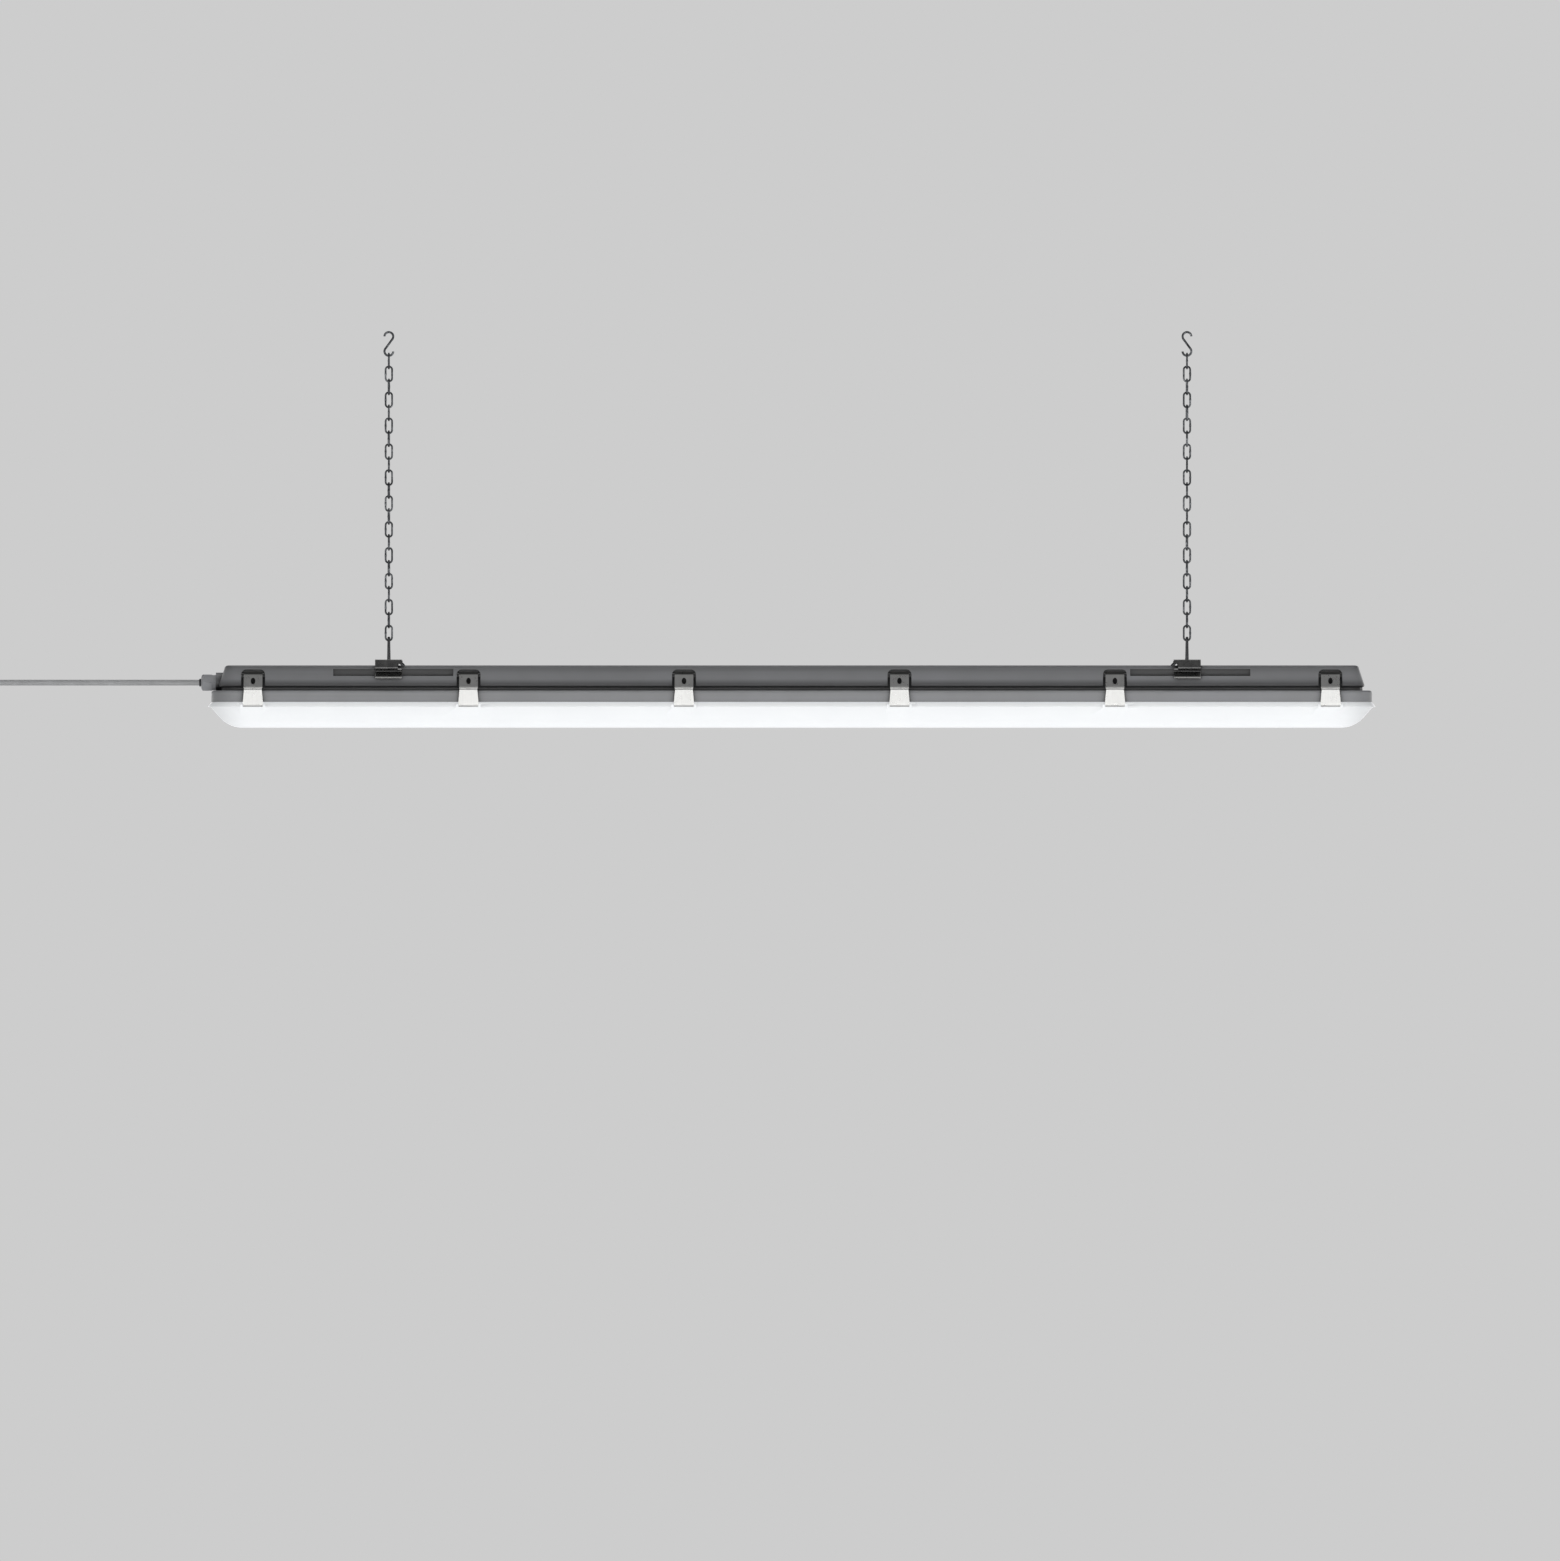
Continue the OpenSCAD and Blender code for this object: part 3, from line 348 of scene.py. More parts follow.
def rolled_metal(name, light, dark, rough_low, rough_high, corner=0.45, unshaded_from=0.8,
                 shaded_hinge=False, painted_mark=False):
    """Cold-rolled sheet or drawn wire: a metal whose fine lines, left by the rolls, stretch
    the highlight, with a few scuffs that dull it, and painted shade where it meets others."""
    made, tree, place = begin(name)
    parts = add(tree, "ShaderNodeSeparateXYZ", {"Vector": place})
    # The lines are 0.05 mm wide and 30 mm long; they are drawn at 0.5 mm, so that they show.
    along = add(tree, "ShaderNodeMapping",
                {"Vector": place, "Scale": (per(0.5), per(30), per(30))})
    lines = add(tree, "ShaderNodeTexNoise", {"Vector": along.outputs[0], "Scale": 1,
                                             "Detail": 3})
    # Scuffs and finger marks are some 7 mm across.
    scuff = add(tree, "ShaderNodeTexNoise", {"Vector": place, "Scale": per(7), "Detail": 5,
                                             "Roughness": 0.65})
    mixed = add(tree, "ShaderNodeMath", {0: lines.outputs["Fac"], 1: scuff.outputs["Fac"]},
                operation="ADD")
    half = add(tree, "ShaderNodeMath", {0: mixed.outputs[0], 1: 0.5}, operation="MULTIPLY")
    colour = add(tree, "ShaderNodeValToRGB", {"Fac": half.outputs[0]},
                 stops=[(0.35, linear(dark)), (0.65, linear(light))])
    metal = colour.outputs["Color"]
    if painted_mark:
        # A highlight is painted on the lowest edge.
        low = add(tree, "ShaderNodeMapRange",
                  {"Value": parts.outputs["Z"], "From Min": (LAMP.z + PAINTED_HIGHLIGHT_Z) * MM,
                   "From Max": (LAMP.z + PAINTED_HIGHLIGHT_Z + 0.6) * MM})
        metal = add(tree, "ShaderNodeMix",
                    {0: low.outputs[0], 6: linear("#CACAC7"), 7: metal},
                    data_type="RGBA").outputs[2]
    # Shade is painted in the corners, within about 6 mm of the next piece, by ambient
    # occlusion.
    corners = add(tree, "ShaderNodeAmbientOcclusion", {"Distance": 6 * MM}, samples=6)
    painted_shade = add(tree, "ShaderNodeValToRGB", {"Fac": corners.outputs["AO"]},
                stops=[(0.2, grey(corner)), (unshaded_from, grey(1.0))])
    with_painted_shade = add(tree, "ShaderNodeMix", {0: 1.0, 6: metal, 7: painted_shade.outputs["Color"]},
               data_type="RGBA", blend_type="MULTIPLY")
    if shaded_hinge:
        # Shade is painted on the curl round the hinge pin.
        row = add(tree, "ShaderNodeMath", {0: parts.outputs["Y"]}, operation="ABSOLUTE")
        flat = add(tree, "ShaderNodeCombineXYZ", {"Y": row.outputs[0],
                                                  "Z": parts.outputs["Z"]})
        off = add(tree, "ShaderNodeVectorMath",
                  {0: flat.outputs[0], 1: (0, HINGE_Y * MM, (LAMP.z + HINGE_Z) * MM)},
                  operation="DISTANCE")
        hinge_shade = add(tree, "ShaderNodeMapRange",
                  {"Value": off.outputs["Value"], "From Min": 2.5 * MM,
                   "From Max": 4 * MM, "To Min": 0.12, "To Max": 1.0},
                  interpolation_type="SMOOTHSTEP")
        with_painted_shade = add(tree, "ShaderNodeMix",
                   {0: 1.0, 6: with_painted_shade.outputs[2], 7: hinge_shade.outputs[0]},
                   data_type="RGBA", blend_type="MULTIPLY")
    gloss = add(tree, "ShaderNodeMapRange",
                {"Value": scuff.outputs["Fac"], "From Min": 0.35, "From Max": 0.7,
                 "To Min": rough_low, "To Max": rough_high})
    relief = add(tree, "ShaderNodeBump", {"Height": lines.outputs["Fac"], "Strength": 0.15,
                                          "Distance": 0.02 * MM})
    shader = add(tree, "ShaderNodeBsdfPrincipled",
                 {"Base Color": with_painted_shade.outputs[2], "Metallic": 1.0,
                  "Roughness": gloss.outputs[0], "Normal": relief.outputs[0]})
    add(tree, "ShaderNodeOutputMaterial", {"Surface": shader.outputs["BSDF"]})
    return made


def dulled_zinc():
    """Zinc-plated chain wire that has dulled: dark grey, with paler spots where the zinc
    still shines and where the links rub on one another."""
    made, tree, place = begin("dulled_zinc")
    # Spots of 2.6 mm, about the wire's thickness, lie in patches over a link or two.
    spots = add(tree, "ShaderNodeTexNoise", {"Vector": place, "Scale": per(2.6), "Detail": 4,
                                             "Roughness": 0.6})
    patches = add(tree, "ShaderNodeTexNoise", {"Vector": place, "Scale": per(19), "Detail": 2})
    tone = add(tree, "ShaderNodeMath", {0: spots.outputs["Fac"], 1: patches.outputs["Fac"]},
               operation="ADD")
    half = add(tree, "ShaderNodeMath", {0: tone.outputs[0], 1: 0.5}, operation="MULTIPLY")
    colour = add(tree, "ShaderNodeValToRGB", {"Fac": half.outputs[0]},
                 stops=[(0.36, linear("#3C3D3F")), (0.5, linear("#55575A")),
                        (0.62, linear("#85878A"))])
    gloss = add(tree, "ShaderNodeMapRange",
                {"Value": spots.outputs["Fac"], "From Min": 0.35, "From Max": 0.65,
                 "To Min": 0.55, "To Max": 0.34})
    relief = add(tree, "ShaderNodeBump", {"Height": spots.outputs["Fac"], "Strength": 0.3,
                                          "Distance": 0.06 * MM})
    shader = add(tree, "ShaderNodeBsdfPrincipled",
                 {"Base Color": colour.outputs["Color"], "Metallic": 1.0,
                  "Roughness": gloss.outputs[0], "Normal": relief.outputs[0]})
    add(tree, "ShaderNodeOutputMaterial", {"Surface": shader.outputs["BSDF"]})
    return made


def moulded(name, light, dark, rough, ior, grain_size, depth, patch=22):
    """A moulded, foamed or coated piece, such as PVC, nylon, rubber, foam or enamel: one tone
    that varies a little in patches, and a grain of its own that scatters the highlight.
    The grain's size and depth and the patches' size are in millimetres."""
    made, tree, place = begin(name)
    patches = add(tree, "ShaderNodeTexNoise", {"Vector": place, "Scale": per(patch),
                                               "Detail": 4})
    colour = add(tree, "ShaderNodeValToRGB", {"Fac": patches.outputs["Fac"]},
                 stops=[(0.34, linear(dark)), (0.66, linear(light))])
    grain = add(tree, "ShaderNodeTexNoise", {"Vector": place, "Scale": per(grain_size),
                                             "Detail": 2})
    gloss = add(tree, "ShaderNodeMapRange",
                {"Value": grain.outputs["Fac"], "From Min": 0.3, "From Max": 0.7,
                 "To Min": rough - 0.05, "To Max": rough + 0.05})
    relief = add(tree, "ShaderNodeBump", {"Height": grain.outputs["Fac"], "Strength": 0.3,
                                          "Distance": depth * MM})
    shader = add(tree, "ShaderNodeBsdfPrincipled",
                 {"Base Color": colour.outputs["Color"], "Roughness": gloss.outputs[0],
                  "Normal": relief.outputs[0], "IOR": ior})
    add(tree, "ShaderNodeOutputMaterial", {"Surface": shader.outputs["BSDF"]})
    return made


def lead_insulation():
    """Extruded PVC on the leads inside, brown, green and blue side by side: each is one
    clear colour, a little faded in places."""
    made, tree, place = begin("lead_insulation")
    # The three lie next to each other across 6 mm.
    parts = add(tree, "ShaderNodeSeparateXYZ", {"Vector": place})
    across = add(tree, "ShaderNodeMapRange",
                 {"Value": parts.outputs["Y"], "From Min": -3 * MM, "From Max": 3 * MM})
    which = add(tree, "ShaderNodeValToRGB", {"Fac": across.outputs[0]},
                stops=[(0.0, linear("#6B3F26")), (0.36, linear("#5E8A2E")),
                       (0.64, linear("#2E5C93"))])
    which.color_ramp.interpolation = "CONSTANT"
    bloom = add(tree, "ShaderNodeTexNoise", {"Vector": place, "Scale": per(9), "Detail": 3})
    faded = add(tree, "ShaderNodeMix",
                {0: 0.25, 6: which.outputs["Color"], 7: bloom.outputs["Color"]},
                data_type="RGBA", blend_type="SOFT_LIGHT")
    relief = add(tree, "ShaderNodeBump", {"Height": bloom.outputs["Fac"], "Strength": 0.2,
                                          "Distance": 0.05 * MM})
    shader = add(tree, "ShaderNodeBsdfPrincipled",
                 {"Base Color": faded.outputs[2], "Roughness": 0.42,
                  "Normal": relief.outputs[0], "IOR": 1.53})
    add(tree, "ShaderNodeOutputMaterial", {"Surface": shader.outputs["BSDF"]})
    return made


housing_finish = spark_eroded_polycarbonate()
diffuser_finish = opal_polycarbonate()
# The latches get painted shade on their hinge curls and in their corners.
stainless_finish = rolled_metal("rolled_stainless", "#DADAD8", "#D0D0CE", 0.26, 0.36,
                                corner=0.85, shaded_hinge=True)
chain_finish = dulled_zinc()
cord_finish = moulded("soft_pvc", "#B2B3B4", "#A5A6A7", 0.5, 1.53, 0.8, 0.08)
gland_finish = moulded("moulded_nylon", "#A2A3A5", "#95969A", 0.42, 1.53, 0.7, 0.06, patch=9)
seal_finish = moulded("nitrile_rubber", "#333436", "#29292B", 0.7, 1.52, 0.6, 0.08)
gasket_finish = moulded("polyurethane_foam", "#4B4B4D", "#3A3A3C", 0.9, 1.45, 1.0, 0.4)
tray_finish = moulded("white_enamel", "#ECECEA", "#E6E6E4", 0.24, 1.5, 2.5, 0.05, patch=60)
# The brackets get strong painted shade in their corners and a painted highlight on their lowest
# edge.
spring_finish = rolled_metal("spring_steel", "#7E7E7D", "#6E6E6E", 0.24, 0.34, corner=0.2,
                             unshaded_from=0.5, painted_mark=True)
hook_finish = rolled_metal("drawn_spring_wire", "#525355", "#404142", 0.38, 0.5, corner=0.3)
screw_finish = rolled_metal("zinc_plated_screws", "#C4C0B0", "#A8A699", 0.26, 0.4)
board_finish = moulded("white_solder_mask", "#F2F2ED", "#E9E9E2", 0.3, 1.55, 0.9, 0.05)
phosphor_finish = moulded("led_phosphor", "#EACB4F", "#E2BE3A", 0.35, 1.5, 0.4, 0.03, patch=2)
driver_finish = moulded("moulded_abs", "#D9DAD9", "#D0D1D1", 0.45, 1.54, 0.8, 0.06)
terminal_finish = moulded("natural_nylon", "#EAE6D8", "#E0DBCB", 0.4, 1.53, 0.7, 0.05)
lead_finish = lead_insulation()
brass_finish = rolled_metal("stamped_brass", "#D2B269", "#BD9A50", 0.22, 0.36)

FINISHES = [
    (housing_finish, ["housing"]),
    (gasket_finish, ["gasket"]),
    (tray_finish, ["gear_tray"]),
    (screw_finish, ["tray_screws"]),
    (board_finish, ["led_board_left", "led_board_right"]),
    (phosphor_finish, ["leds"]),
    (driver_finish, ["driver_case", "driver_cover"]),
    (terminal_finish, ["terminal_block"]),
    (lead_finish, ["inner_leads"]),
    (cord_finish, ["inner_cable"]),
    (gland_finish, ["gland_body", "gland_nut", "gland_locknut"]),
    (seal_finish, ["gland_seal"]),
    (spring_finish, ["bracket_left", "bracket_right"]),
    (stainless_finish, ["latch_pins"]
     + [f"latch_{row}_{k}" for row in ("front", "rear") for k in range(1, 7)]),
    (brass_finish, ["plug_blades", "plug_ground_pin"]),
]
for finish, names in FINISHES:
    for name in names:
        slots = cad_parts[name].data.materials
        slots.clear()
        slots.append(finish)


# ---------- Power cord and plug ----------

# The cord leaves the gland's lip level and taut, and runs straight to the plug.
CORD_START = LAMP + Vector((-622, 0, 47.3))
CORD_LENGTH = 225
CORD_D = 6
CORD_STEP = 15

cord_line = [CORD_START - Vector((CORD_STEP * k, 0, 0))
             for k in range(CORD_LENGTH // CORD_STEP + 1)]
cord = show("cord_sheath", wire("cord_sheath", [([(p, 1) for p in cord_line], False)],
                                CORD_D, 24),
            cord_finish, "lamp", "cord_pvc", "power_cord")

# The plug's sections, from the cord to its face: (distance from the cord's end, radius).
NECK = 26
NECK_R = 4.2
NECK_FLARE = 3.3
FACE = 58
PLUG_SIDES = 40
# The body is cut flat below, this share of its radius from the middle, with a soft edge.
PLUG_FLAT = 0.77
SOFT_EDGE = 0.6
neck_sizes = [(0, NECK_R - 0.1), (0.6, NECK_R)]
for k in range(4):
    # Four ribs round the tapered neck let it bend but not kink.
    start = 3 + 5 * k
    neck = NECK_R + NECK_FLARE * start / NECK
    rib = 5.2 + 0.8 * k
    neck_sizes += [(start - 0.5, neck), (start, rib - 0.3), (start + 0.4, rib),
                   (start + 2.1, rib), (start + 2.5, rib - 0.3), (start + 3, neck + 0.4)]
# A shoulder, a waist for the fingers, and a chamfer round the face.
body_sizes = [(NECK - 2, 7.2), (NECK, 9.3), (NECK + 2, 10.6), (NECK + 6, 12.7),
              (NECK + 8, 12.9), (NECK + 13, 12.2), (NECK + 18, 11.9), (NECK + 23, 12.3),
              (NECK + 27, 12.9), (FACE - 1.2, 12.9), (FACE - 0.3, 12.5), (FACE, 11.8)]


def plug_section(distance, radius):
    """One section of the plug: round on top, and flat below where the body is full."""
    flat = -PLUG_FLAT * radius if distance > NECK else -radius - 1
    section = []
    for k in range(PLUG_SIDES):
        a = 2 * math.pi * k / PLUG_SIDES
        up = radius * math.sin(a)
        level = (up + flat + math.sqrt((up - flat) ** 2 + SOFT_EDGE)) / 2
        section.append(cord_line[-1] + Vector((-distance, radius * math.cos(a), level)))
    return section


plug_rings = [plug_section(*size) for size in neck_sizes + body_sizes]
plug = show("plug_moulding",
            skin("plug_moulding", [p for ring in plug_rings for p in ring],
                 rings_to_faces(len(plug_rings), PLUG_SIDES), 28),
            cord_finish, "lamp", "cord_pvc", "plug_body")


# ---------- Diffuser ----------

LAMP_LEN = 1222
LAMP_W = 86
CORNER_R = 27
CORNER_STEPS = 14
SIDE_STEPS = 60
# The heights of the rim's edge and of the skirt's foot, and how far the rim stands out.
RIM_Z = 21.7
RIM_TIP = 1.5
SKIRT_Z = 27
# The side's slope, the radius with which it rolls into the flat bottom, and the wall.
LENS_SLOPE = math.radians(48)
LENS_ROLL = 31
LENS_WALL = 2.2
SIDE_START = 1
ROLL_LOW_IN = SIDE_START + RIM_Z / math.tan(LENS_SLOPE) + LENS_ROLL * math.tan(LENS_SLOPE / 2)
# The tongue that stands in the skirt's gasket.
TONGUE_OUT = 6
TONGUE_IN = 8
TONGUE_TOP = 33.2
# The corners' radius shrinks with the way in: by all of it at the rim, so that the rings stay
# side by side, but by less further down, where the corners are rounder.
AT_RIM = 1
BELOW_RIM = 0.55


def lens_ring(inward, height, shrink):
    """A level ring of the diffuser, some way in from the rim's edge."""
    r = CORNER_R - shrink * inward
    x = LAMP_LEN / 2 - inward - r
    y = LAMP_W / 2 - inward - r
    ring = []
    for turn, (side_x, side_y) in enumerate([(x, y), (-x, y), (-x, -y), (x, -y)]):
        for k in range(CORNER_STEPS + 1):
            a = math.radians(90 * (turn + k / CORNER_STEPS))
            ring.append((side_x + r * math.cos(a), side_y + r * math.sin(a)))
        if turn % 2 == 0:
            # The long sides are in short steps, so that the sheen runs on past the seats.
            ring += [(side_x * (1 - 2 * k / SIDE_STEPS), ring[-1][1])
                     for k in range(1, SIDE_STEPS)]
    return [LAMP + Vector((*point, height)) for point in ring]


def roll(angle, thickness):
    """A point on the roll from the flat bottom to the side, on either face of the wall."""
    return (ROLL_LOW_IN - (LENS_ROLL - thickness) * math.sin(angle),
            LENS_ROLL - (LENS_ROLL - thickness) * math.cos(angle))


ROLL_STEPS = 18
roll_angles = [LENS_SLOPE * k / ROLL_STEPS for k in range(ROLL_STEPS + 1)]
rim_top = SKIRT_Z - 0.2
rim_in = TONGUE_IN + 1
inner_rim_z = RIM_Z - 0.5
inner_top = SIDE_START + LENS_WALL / math.sin(LENS_SLOPE) + 0.45
# The profile, from the bottom up the outside and down the inside: how far in, and how high.
lens_profile = [(*roll(a, 0), BELOW_RIM) for a in roll_angles]
lens_profile += [(SIDE_START + 0.6, RIM_Z - 0.65, BELOW_RIM)]
lens_profile += [(inward, height, AT_RIM) for inward, height in [
    # The rim comes to a narrow edge outside the sides, with a bevel above it.
    (SIDE_START - 0.4, RIM_Z - 0.05), (0.4 - RIM_TIP, RIM_Z), (0.1 - RIM_TIP, RIM_Z + 0.1),
    (-RIM_TIP, RIM_Z + 0.35), (0.1 - RIM_TIP, RIM_Z + 0.7),
    (1.7, SKIRT_Z - 0.6), (2.0, SKIRT_Z - 0.3), (2.4, rim_top),
    # The tongue's top edges are broken by 0.3.
    (TONGUE_OUT, rim_top), (TONGUE_OUT, TONGUE_TOP - 0.2), (TONGUE_OUT + 0.3, TONGUE_TOP),
    (TONGUE_IN - 0.3, TONGUE_TOP), (TONGUE_IN, TONGUE_TOP - 0.2), (TONGUE_IN, rim_top),
    (rim_in, rim_top), (rim_in, inner_rim_z), (inner_top, inner_rim_z)]]
lens_profile += [(*roll(a, LENS_WALL), BELOW_RIM) for a in reversed(roll_angles)]
lens_rings = [lens_ring(*point) for point in lens_profile]
bowl_mesh = skin("opal_bowl", [p for ring in lens_rings for p in ring],
                 rings_to_faces(len(lens_rings), len(lens_rings[0])), 30)

# The latches' lips reach into seats under the rim, which blocks cut out of it.
LATCH_XS = [(k - 2.5) * 226 for k in range(6)]
SEAT_HALF = 13
SEAT_BACK = 40.9
SEAT_Z = 24.2
PAST_RIM = 46
BLOCK_FACES = ((3, 2, 1, 0), (4, 5, 6, 7), (0, 1, 5, 4), (1, 2, 6, 5), (2, 3, 7, 6),
               (3, 0, 4, 7))
seat_points = []
seat_faces = []
for x in LATCH_XS:
    for row in (-1, 1):
        corner = len(seat_points)
        for z in (RIM_Z - 2, SEAT_Z):
            for dx, y in ((-SEAT_HALF, SEAT_BACK), (SEAT_HALF, SEAT_BACK),
                          (SEAT_HALF, PAST_RIM), (-SEAT_HALF, PAST_RIM)):
                seat_points.append(LAMP + Vector((x + dx * row, row * y, z)))
        seat_faces += [tuple(corner + k for k in quad) for quad in BLOCK_FACES]
seats = bpy.data.objects.new("seats", skin("seats", seat_points, seat_faces))
bowl = bpy.data.objects.new("uncut_bowl", bowl_mesh)
for cutter in (seats, bowl):
    bpy.context.scene.collection.objects.link(cutter)
cut = bowl.modifiers.new("seats", "BOOLEAN")
cut.operation = "DIFFERENCE"
cut.object = seats
cut.solver = "EXACT"
bpy.context.view_layer.update()
cut_mesh = bpy.data.meshes.new_from_object(
    bowl.evaluated_get(bpy.context.evaluated_depsgraph_get()))
for cutter in (seats, bowl):
    bpy.data.objects.remove(cutter)
cut_mesh.materials.clear()
show("opal_bowl", cut_mesh, diffuser_finish, "lamp", "opal_diffuser", "diffuser")


# ---------- Hooks and chains ----------

# The S-hooks: the wire's thickness, drawn a little under its 2.4 to stay within its plain
# solid's box, the bows' radius, how far apart their centres are, the height midway between
# them, and the angle at which each bow ends.
S_WIRE = 2.28
S_BOW = 4.6
S_REACH = 15.6
S_MIDDLE_Z = -11.2
S_TAIL = 215
# The links: their wire, half width and straight length, and the step from one to the next.
LINK_WIRE = 2
LINK_BOW = 3.4
LINK_STRAIGHT = 8.9
LINK_STEP = 13.6
FIRST_LINK_Z = -29.15
LINK_COUNT = 22
# The twist that a link may keep, in degrees.
LINK_TWIST = 7
# The V-hooks: a bow over the legs, and feet along the lamp whose tips turn down.
V_WIRE = 3
V_TOP_Z = -320
V_BOW = 3.5
V_FOOT_Y = 30.2
V_HEIGHT = 25.5
V_FOOT_X = 12
V_TIP = 6
V_BEND = 2.2


def at_chain(side, points):
    """Moves points drawn for a chain to the left or right one, which mirror each other."""
    return [Vector((side * (CHAIN_X - p[0]), p[1], p[2])) for p in points]


def s_hook_line():
    """The S-hook's wire: two bows, half a turn from each other, joined by a slanting shank."""
    lean = math.degrees(math.asin(2 * S_BOW / S_REACH))
    upper = arc((0, S_REACH / 2), S_BOW, S_TAIL - lean, -lean, 44)
    both = upper + [(-x, -z) for x, z in reversed(upper)]
    return [Vector((x, 0, S_MIDDLE_Z + z)) for x, z in both]


def v_hook_line():
    """The V-hook's wire: over the bow, down both legs, and along the feet to their tips."""
    foot = (V_FOOT_Y, V_BOW - V_HEIGHT)
    leave = math.atan2(foot[1], foot[0]) + math.acos(V_BOW / math.hypot(*foot))
    bow = arc((0, -V_BOW), V_BOW, 180 - math.degrees(leave), math.degrees(leave), 20)
    drop = V_TIP * math.sqrt(0.5)
    legs = []
    for row in (-1, 1):
        end = (V_FOOT_X, row * V_FOOT_Y, -V_HEIGHT)
        tip = (V_FOOT_X + drop, row * V_FOOT_Y, -V_HEIGHT - drop)
        knee = (0, row * V_FOOT_Y, -V_HEIGHT)
        leg_top = (0, row * V_BOW * math.cos(leave), V_BOW * math.sin(leave) - V_BOW)
        legs.append(rounded([tip, end, knee, leg_top], V_BEND)[:-1])
    line = legs[0] + [Vector((0, y, z)) for y, z in bow] + legs[1][::-1]
    return [p + Vector((0, 0, V_TOP_Z)) for p in line]


def link_run(number, turn):
    """One closed link with the bead where its ends were welded, turned about the chain."""
    half = LINK_STRAIGHT / 2
    flat = arc((0, half), LINK_BOW, 0, 180, 16)
    flat += [(-LINK_BOW, z) for z in (2.4, 1.5, 0.9, 0.35, -0.35, -0.9, -1.5, -2.4)]
    flat += arc((0, -half), LINK_BOW, 180, 360, 16)
    # How thick the bead is at each distance from its middle.
    swell = {0.35: 1.17, 0.9: 1.13, 1.5: 1.03}
    middle = FIRST_LINK_Z - (number - 1) * LINK_STEP
    c, s = math.cos(math.radians(turn)), math.sin(math.radians(turn))
    return [(Vector((x * c, x * s, middle + z)),
             swell.get(abs(z), 1.0) if x < 0 and abs(z) < 2 else 1.0) for x, z in flat]


# The links hang nearly square to each other, with the small twists that a chain keeps.
twists = random.Random(11)
for side, hand in ((-1, "left"), (1, "right")):
    s_line = at_chain(side, s_hook_line())
    show(f"s_wire_{hand}", wire(f"s_wire_{hand}", [(cut_ends(s_line), False)], S_WIRE, 20),
         chain_finish, "ceiling_hooks", "chain_steel", f"s_hook_{hand}")
    v_line = at_chain(side, v_hook_line())
    show(f"v_wire_{hand}", wire(f"v_wire_{hand}", [(cut_ends(v_line), False)], V_WIRE, 20),
         hook_finish, f"hanger_{hand}", "spring_steel", f"v_hook_{hand}")
    runs = []
    for number in range(1, LINK_COUNT + 1):
        turn = number % 2 * 90 + twists.uniform(-LINK_TWIST, LINK_TWIST)
        run = link_run(number, turn)
        places = at_chain(side, [point for point, share in run])
        runs.append(([(p, share) for p, (point, share) in zip(places, run)], True))
    for part, chosen in (("top_link", runs[:1]), ("chain", runs[1:-1]),
                         ("end_link", runs[-1:])):
        show(f"{part}_wire_{hand}", wire(f"{part}_wire_{hand}", chosen, LINK_WIRE, 14),
             chain_finish, f"{part}_{hand}", "chain_steel", f"{part}_{hand}")


# ---------- Floor and light ----------

# The sizes of the stage are in metres. The floor lies below the photograph's view.
FLOOR_Z = -1.75
FLOOR_HALF = 5
FLOOR_FADES_FROM = 1.2
FLOOR_GONE_AT = 4.5
PALE = "#CDCDCD"
DIM = "#5E5E5F"
# The room is pale up to the first of these heights above the horizon, and dim from the second.
PALE_UP_TO = math.radians(7)
DIM_FROM = math.radians(28)


def floor_finish():
    """A plain pale floor that fades into the room, and isn't there for a view from below."""
    made, tree, place = begin("pale_floor")
    away = add(tree, "ShaderNodeVectorMath", {0: place}, operation="LENGTH")
    fade = add(tree, "ShaderNodeMapRange",
               {"Value": away.outputs["Value"], "From Min": FLOOR_FADES_FROM,
                "From Max": FLOOR_GONE_AT}, interpolation_type="SMOOTHSTEP")
    under = add(tree, "ShaderNodeNewGeometry").outputs["Backfacing"]
    gone = add(tree, "ShaderNodeMath", {0: fade.outputs[0], 1: under}, operation="MAXIMUM")
    paint = add(tree, "ShaderNodeBsdfDiffuse", {"Color": linear("#DADADA")})
    clear = add(tree, "ShaderNodeBsdfTransparent")
    both = add(tree, "ShaderNodeMixShader", {0: gone.outputs[0], 1: paint.outputs[0],
                                             2: clear.outputs[0]})
    add(tree, "ShaderNodeOutputMaterial", {"Surface": both.outputs[0]})
    return made


floor_mesh = bpy.data.meshes.new("floor")
floor_mesh.from_pydata([(x * FLOOR_HALF, y * FLOOR_HALF, 0)
                        for x, y in ((-1, -1), (1, -1), (1, 1), (-1, 1))], [], [(0, 1, 2, 3)])
floor_mesh.materials.append(floor_finish())
floor = bpy.data.objects.new("floor", floor_mesh)
floor.location = (0, 0, FLOOR_Z)
bpy.context.scene.collection.objects.link(floor)

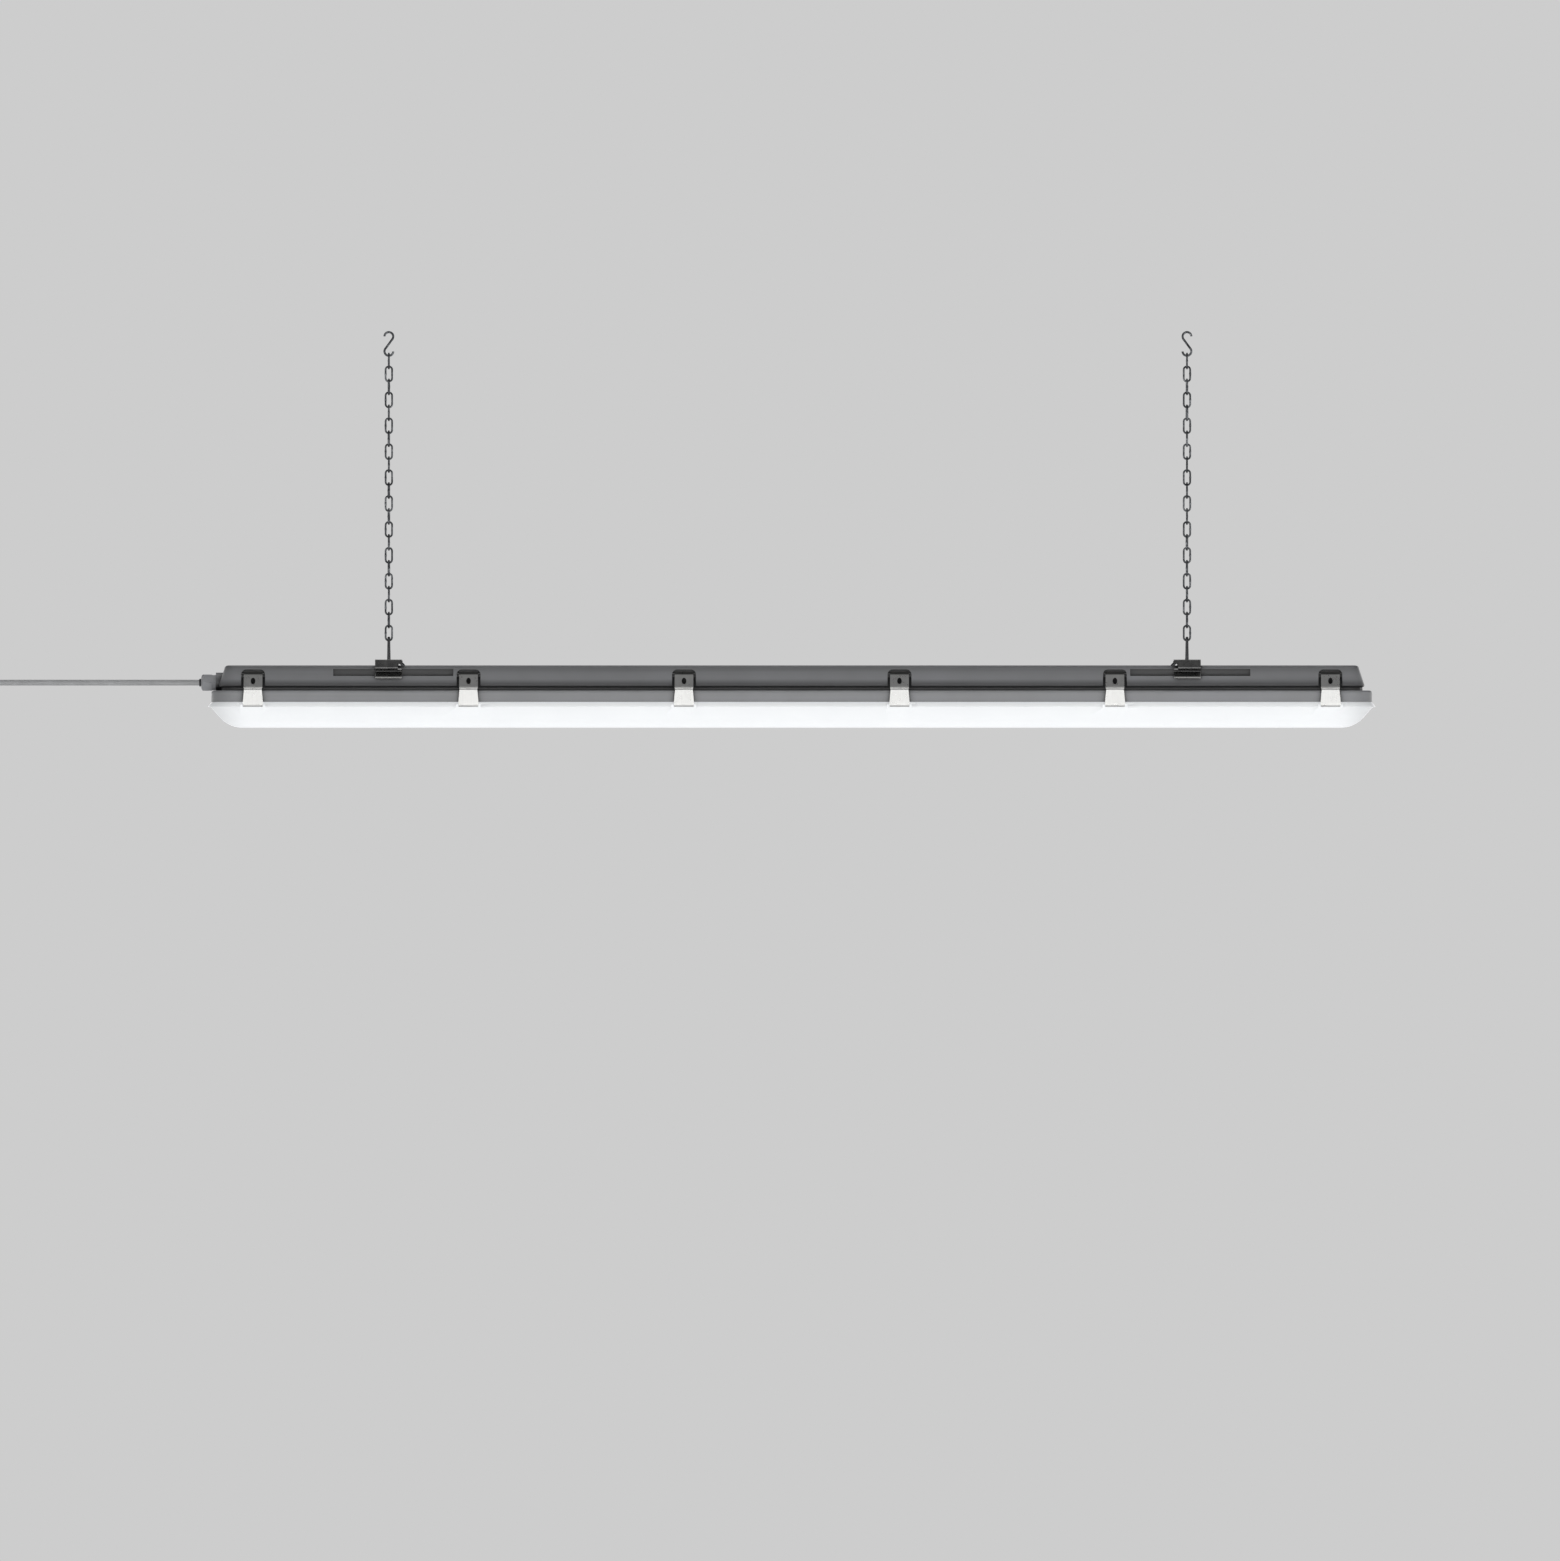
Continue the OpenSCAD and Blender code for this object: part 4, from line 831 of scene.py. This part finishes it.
# The room is pale at eye level and below, and dimmer overhead, for every kind of ray alike.
room = bpy.data.worlds.new("room")
room.use_nodes = True
bpy.context.scene.world = room
tree = room.node_tree
tree.nodes.clear()
heading = add(tree, "ShaderNodeSeparateXYZ",
              {"Vector": add(tree, "ShaderNodeTexCoord").outputs["Generated"]})
level = add(tree, "ShaderNodeMapRange",
            {"Value": heading.outputs["Z"], "From Min": math.sin(PALE_UP_TO),
             "From Max": math.sin(DIM_FROM)}, interpolation_type="SMOOTHSTEP")
shade = add(tree, "ShaderNodeValToRGB", {"Fac": level.outputs[0]},
            stops=[(0.0, linear(PALE)), (1.0, linear(DIM))])
sky = add(tree, "ShaderNodeBackground", {"Color": shade.outputs["Color"], "Strength": 1.0})
add(tree, "ShaderNodeOutputWorld", {"Surface": sky.outputs[0]})


def softbox(name, place, aim, width, height, radiance):
    """A flat light of an even radiance, turned to what it lights and hidden from the camera."""
    lamp = bpy.data.lights.new(name, "AREA")
    lamp.shape = "RECTANGLE"
    lamp.size = width
    lamp.size_y = height
    lamp.energy = radiance * math.pi * width * height
    box = bpy.data.objects.new(name, lamp)
    box.location = place
    box.rotation_euler = (Vector(aim) - Vector(place)).to_track_quat("-Z", "Y").to_euler()
    box.visible_camera = False
    bpy.context.scene.collection.objects.link(box)


THE_LAMP = (0, 0, -0.38)
THE_FLOOR = (0, 0, -2)
for light in [
        # The front one lights the housing, and the low one shines in the latches' lower plates.
        ("front", (0, -3.2, -0.6), THE_LAMP, 4.0, 1.0, 0.64),
        ("front_low", (0.3, -2.3, -1.05), THE_LAMP, 3.2, 0.9, 2.0),
        ("front_left", (-2.6, -1.9, -0.45), THE_LAMP, 1.8, 1.3, 0.15),
        ("front_right", (2.6, -1.9, -0.45), THE_LAMP, 1.8, 1.3, 0.35),
        ("back_left", (-1.5, 2.6, -0.3), THE_LAMP, 2.4, 1.3, 0.9),
        ("back_right", (1.5, 2.6, -0.3), THE_LAMP, 2.4, 1.3, 0.9),
        # The ones overhead light the tops and the chains.
        ("overhead", (0, 0.5, 2.1), THE_LAMP, 3.0, 1.4, 1.5),
        ("overhead_front", (0, -1.0, 1.8), THE_LAMP, 3.0, 1.0, 0.2),
        # This one hangs under the lamp, shines down only, and keeps the floor pale.
        ("floor_wash", (0, 0, -0.5), THE_FLOOR, 5.0, 4.0, 0.3)]:
    softbox(*light)
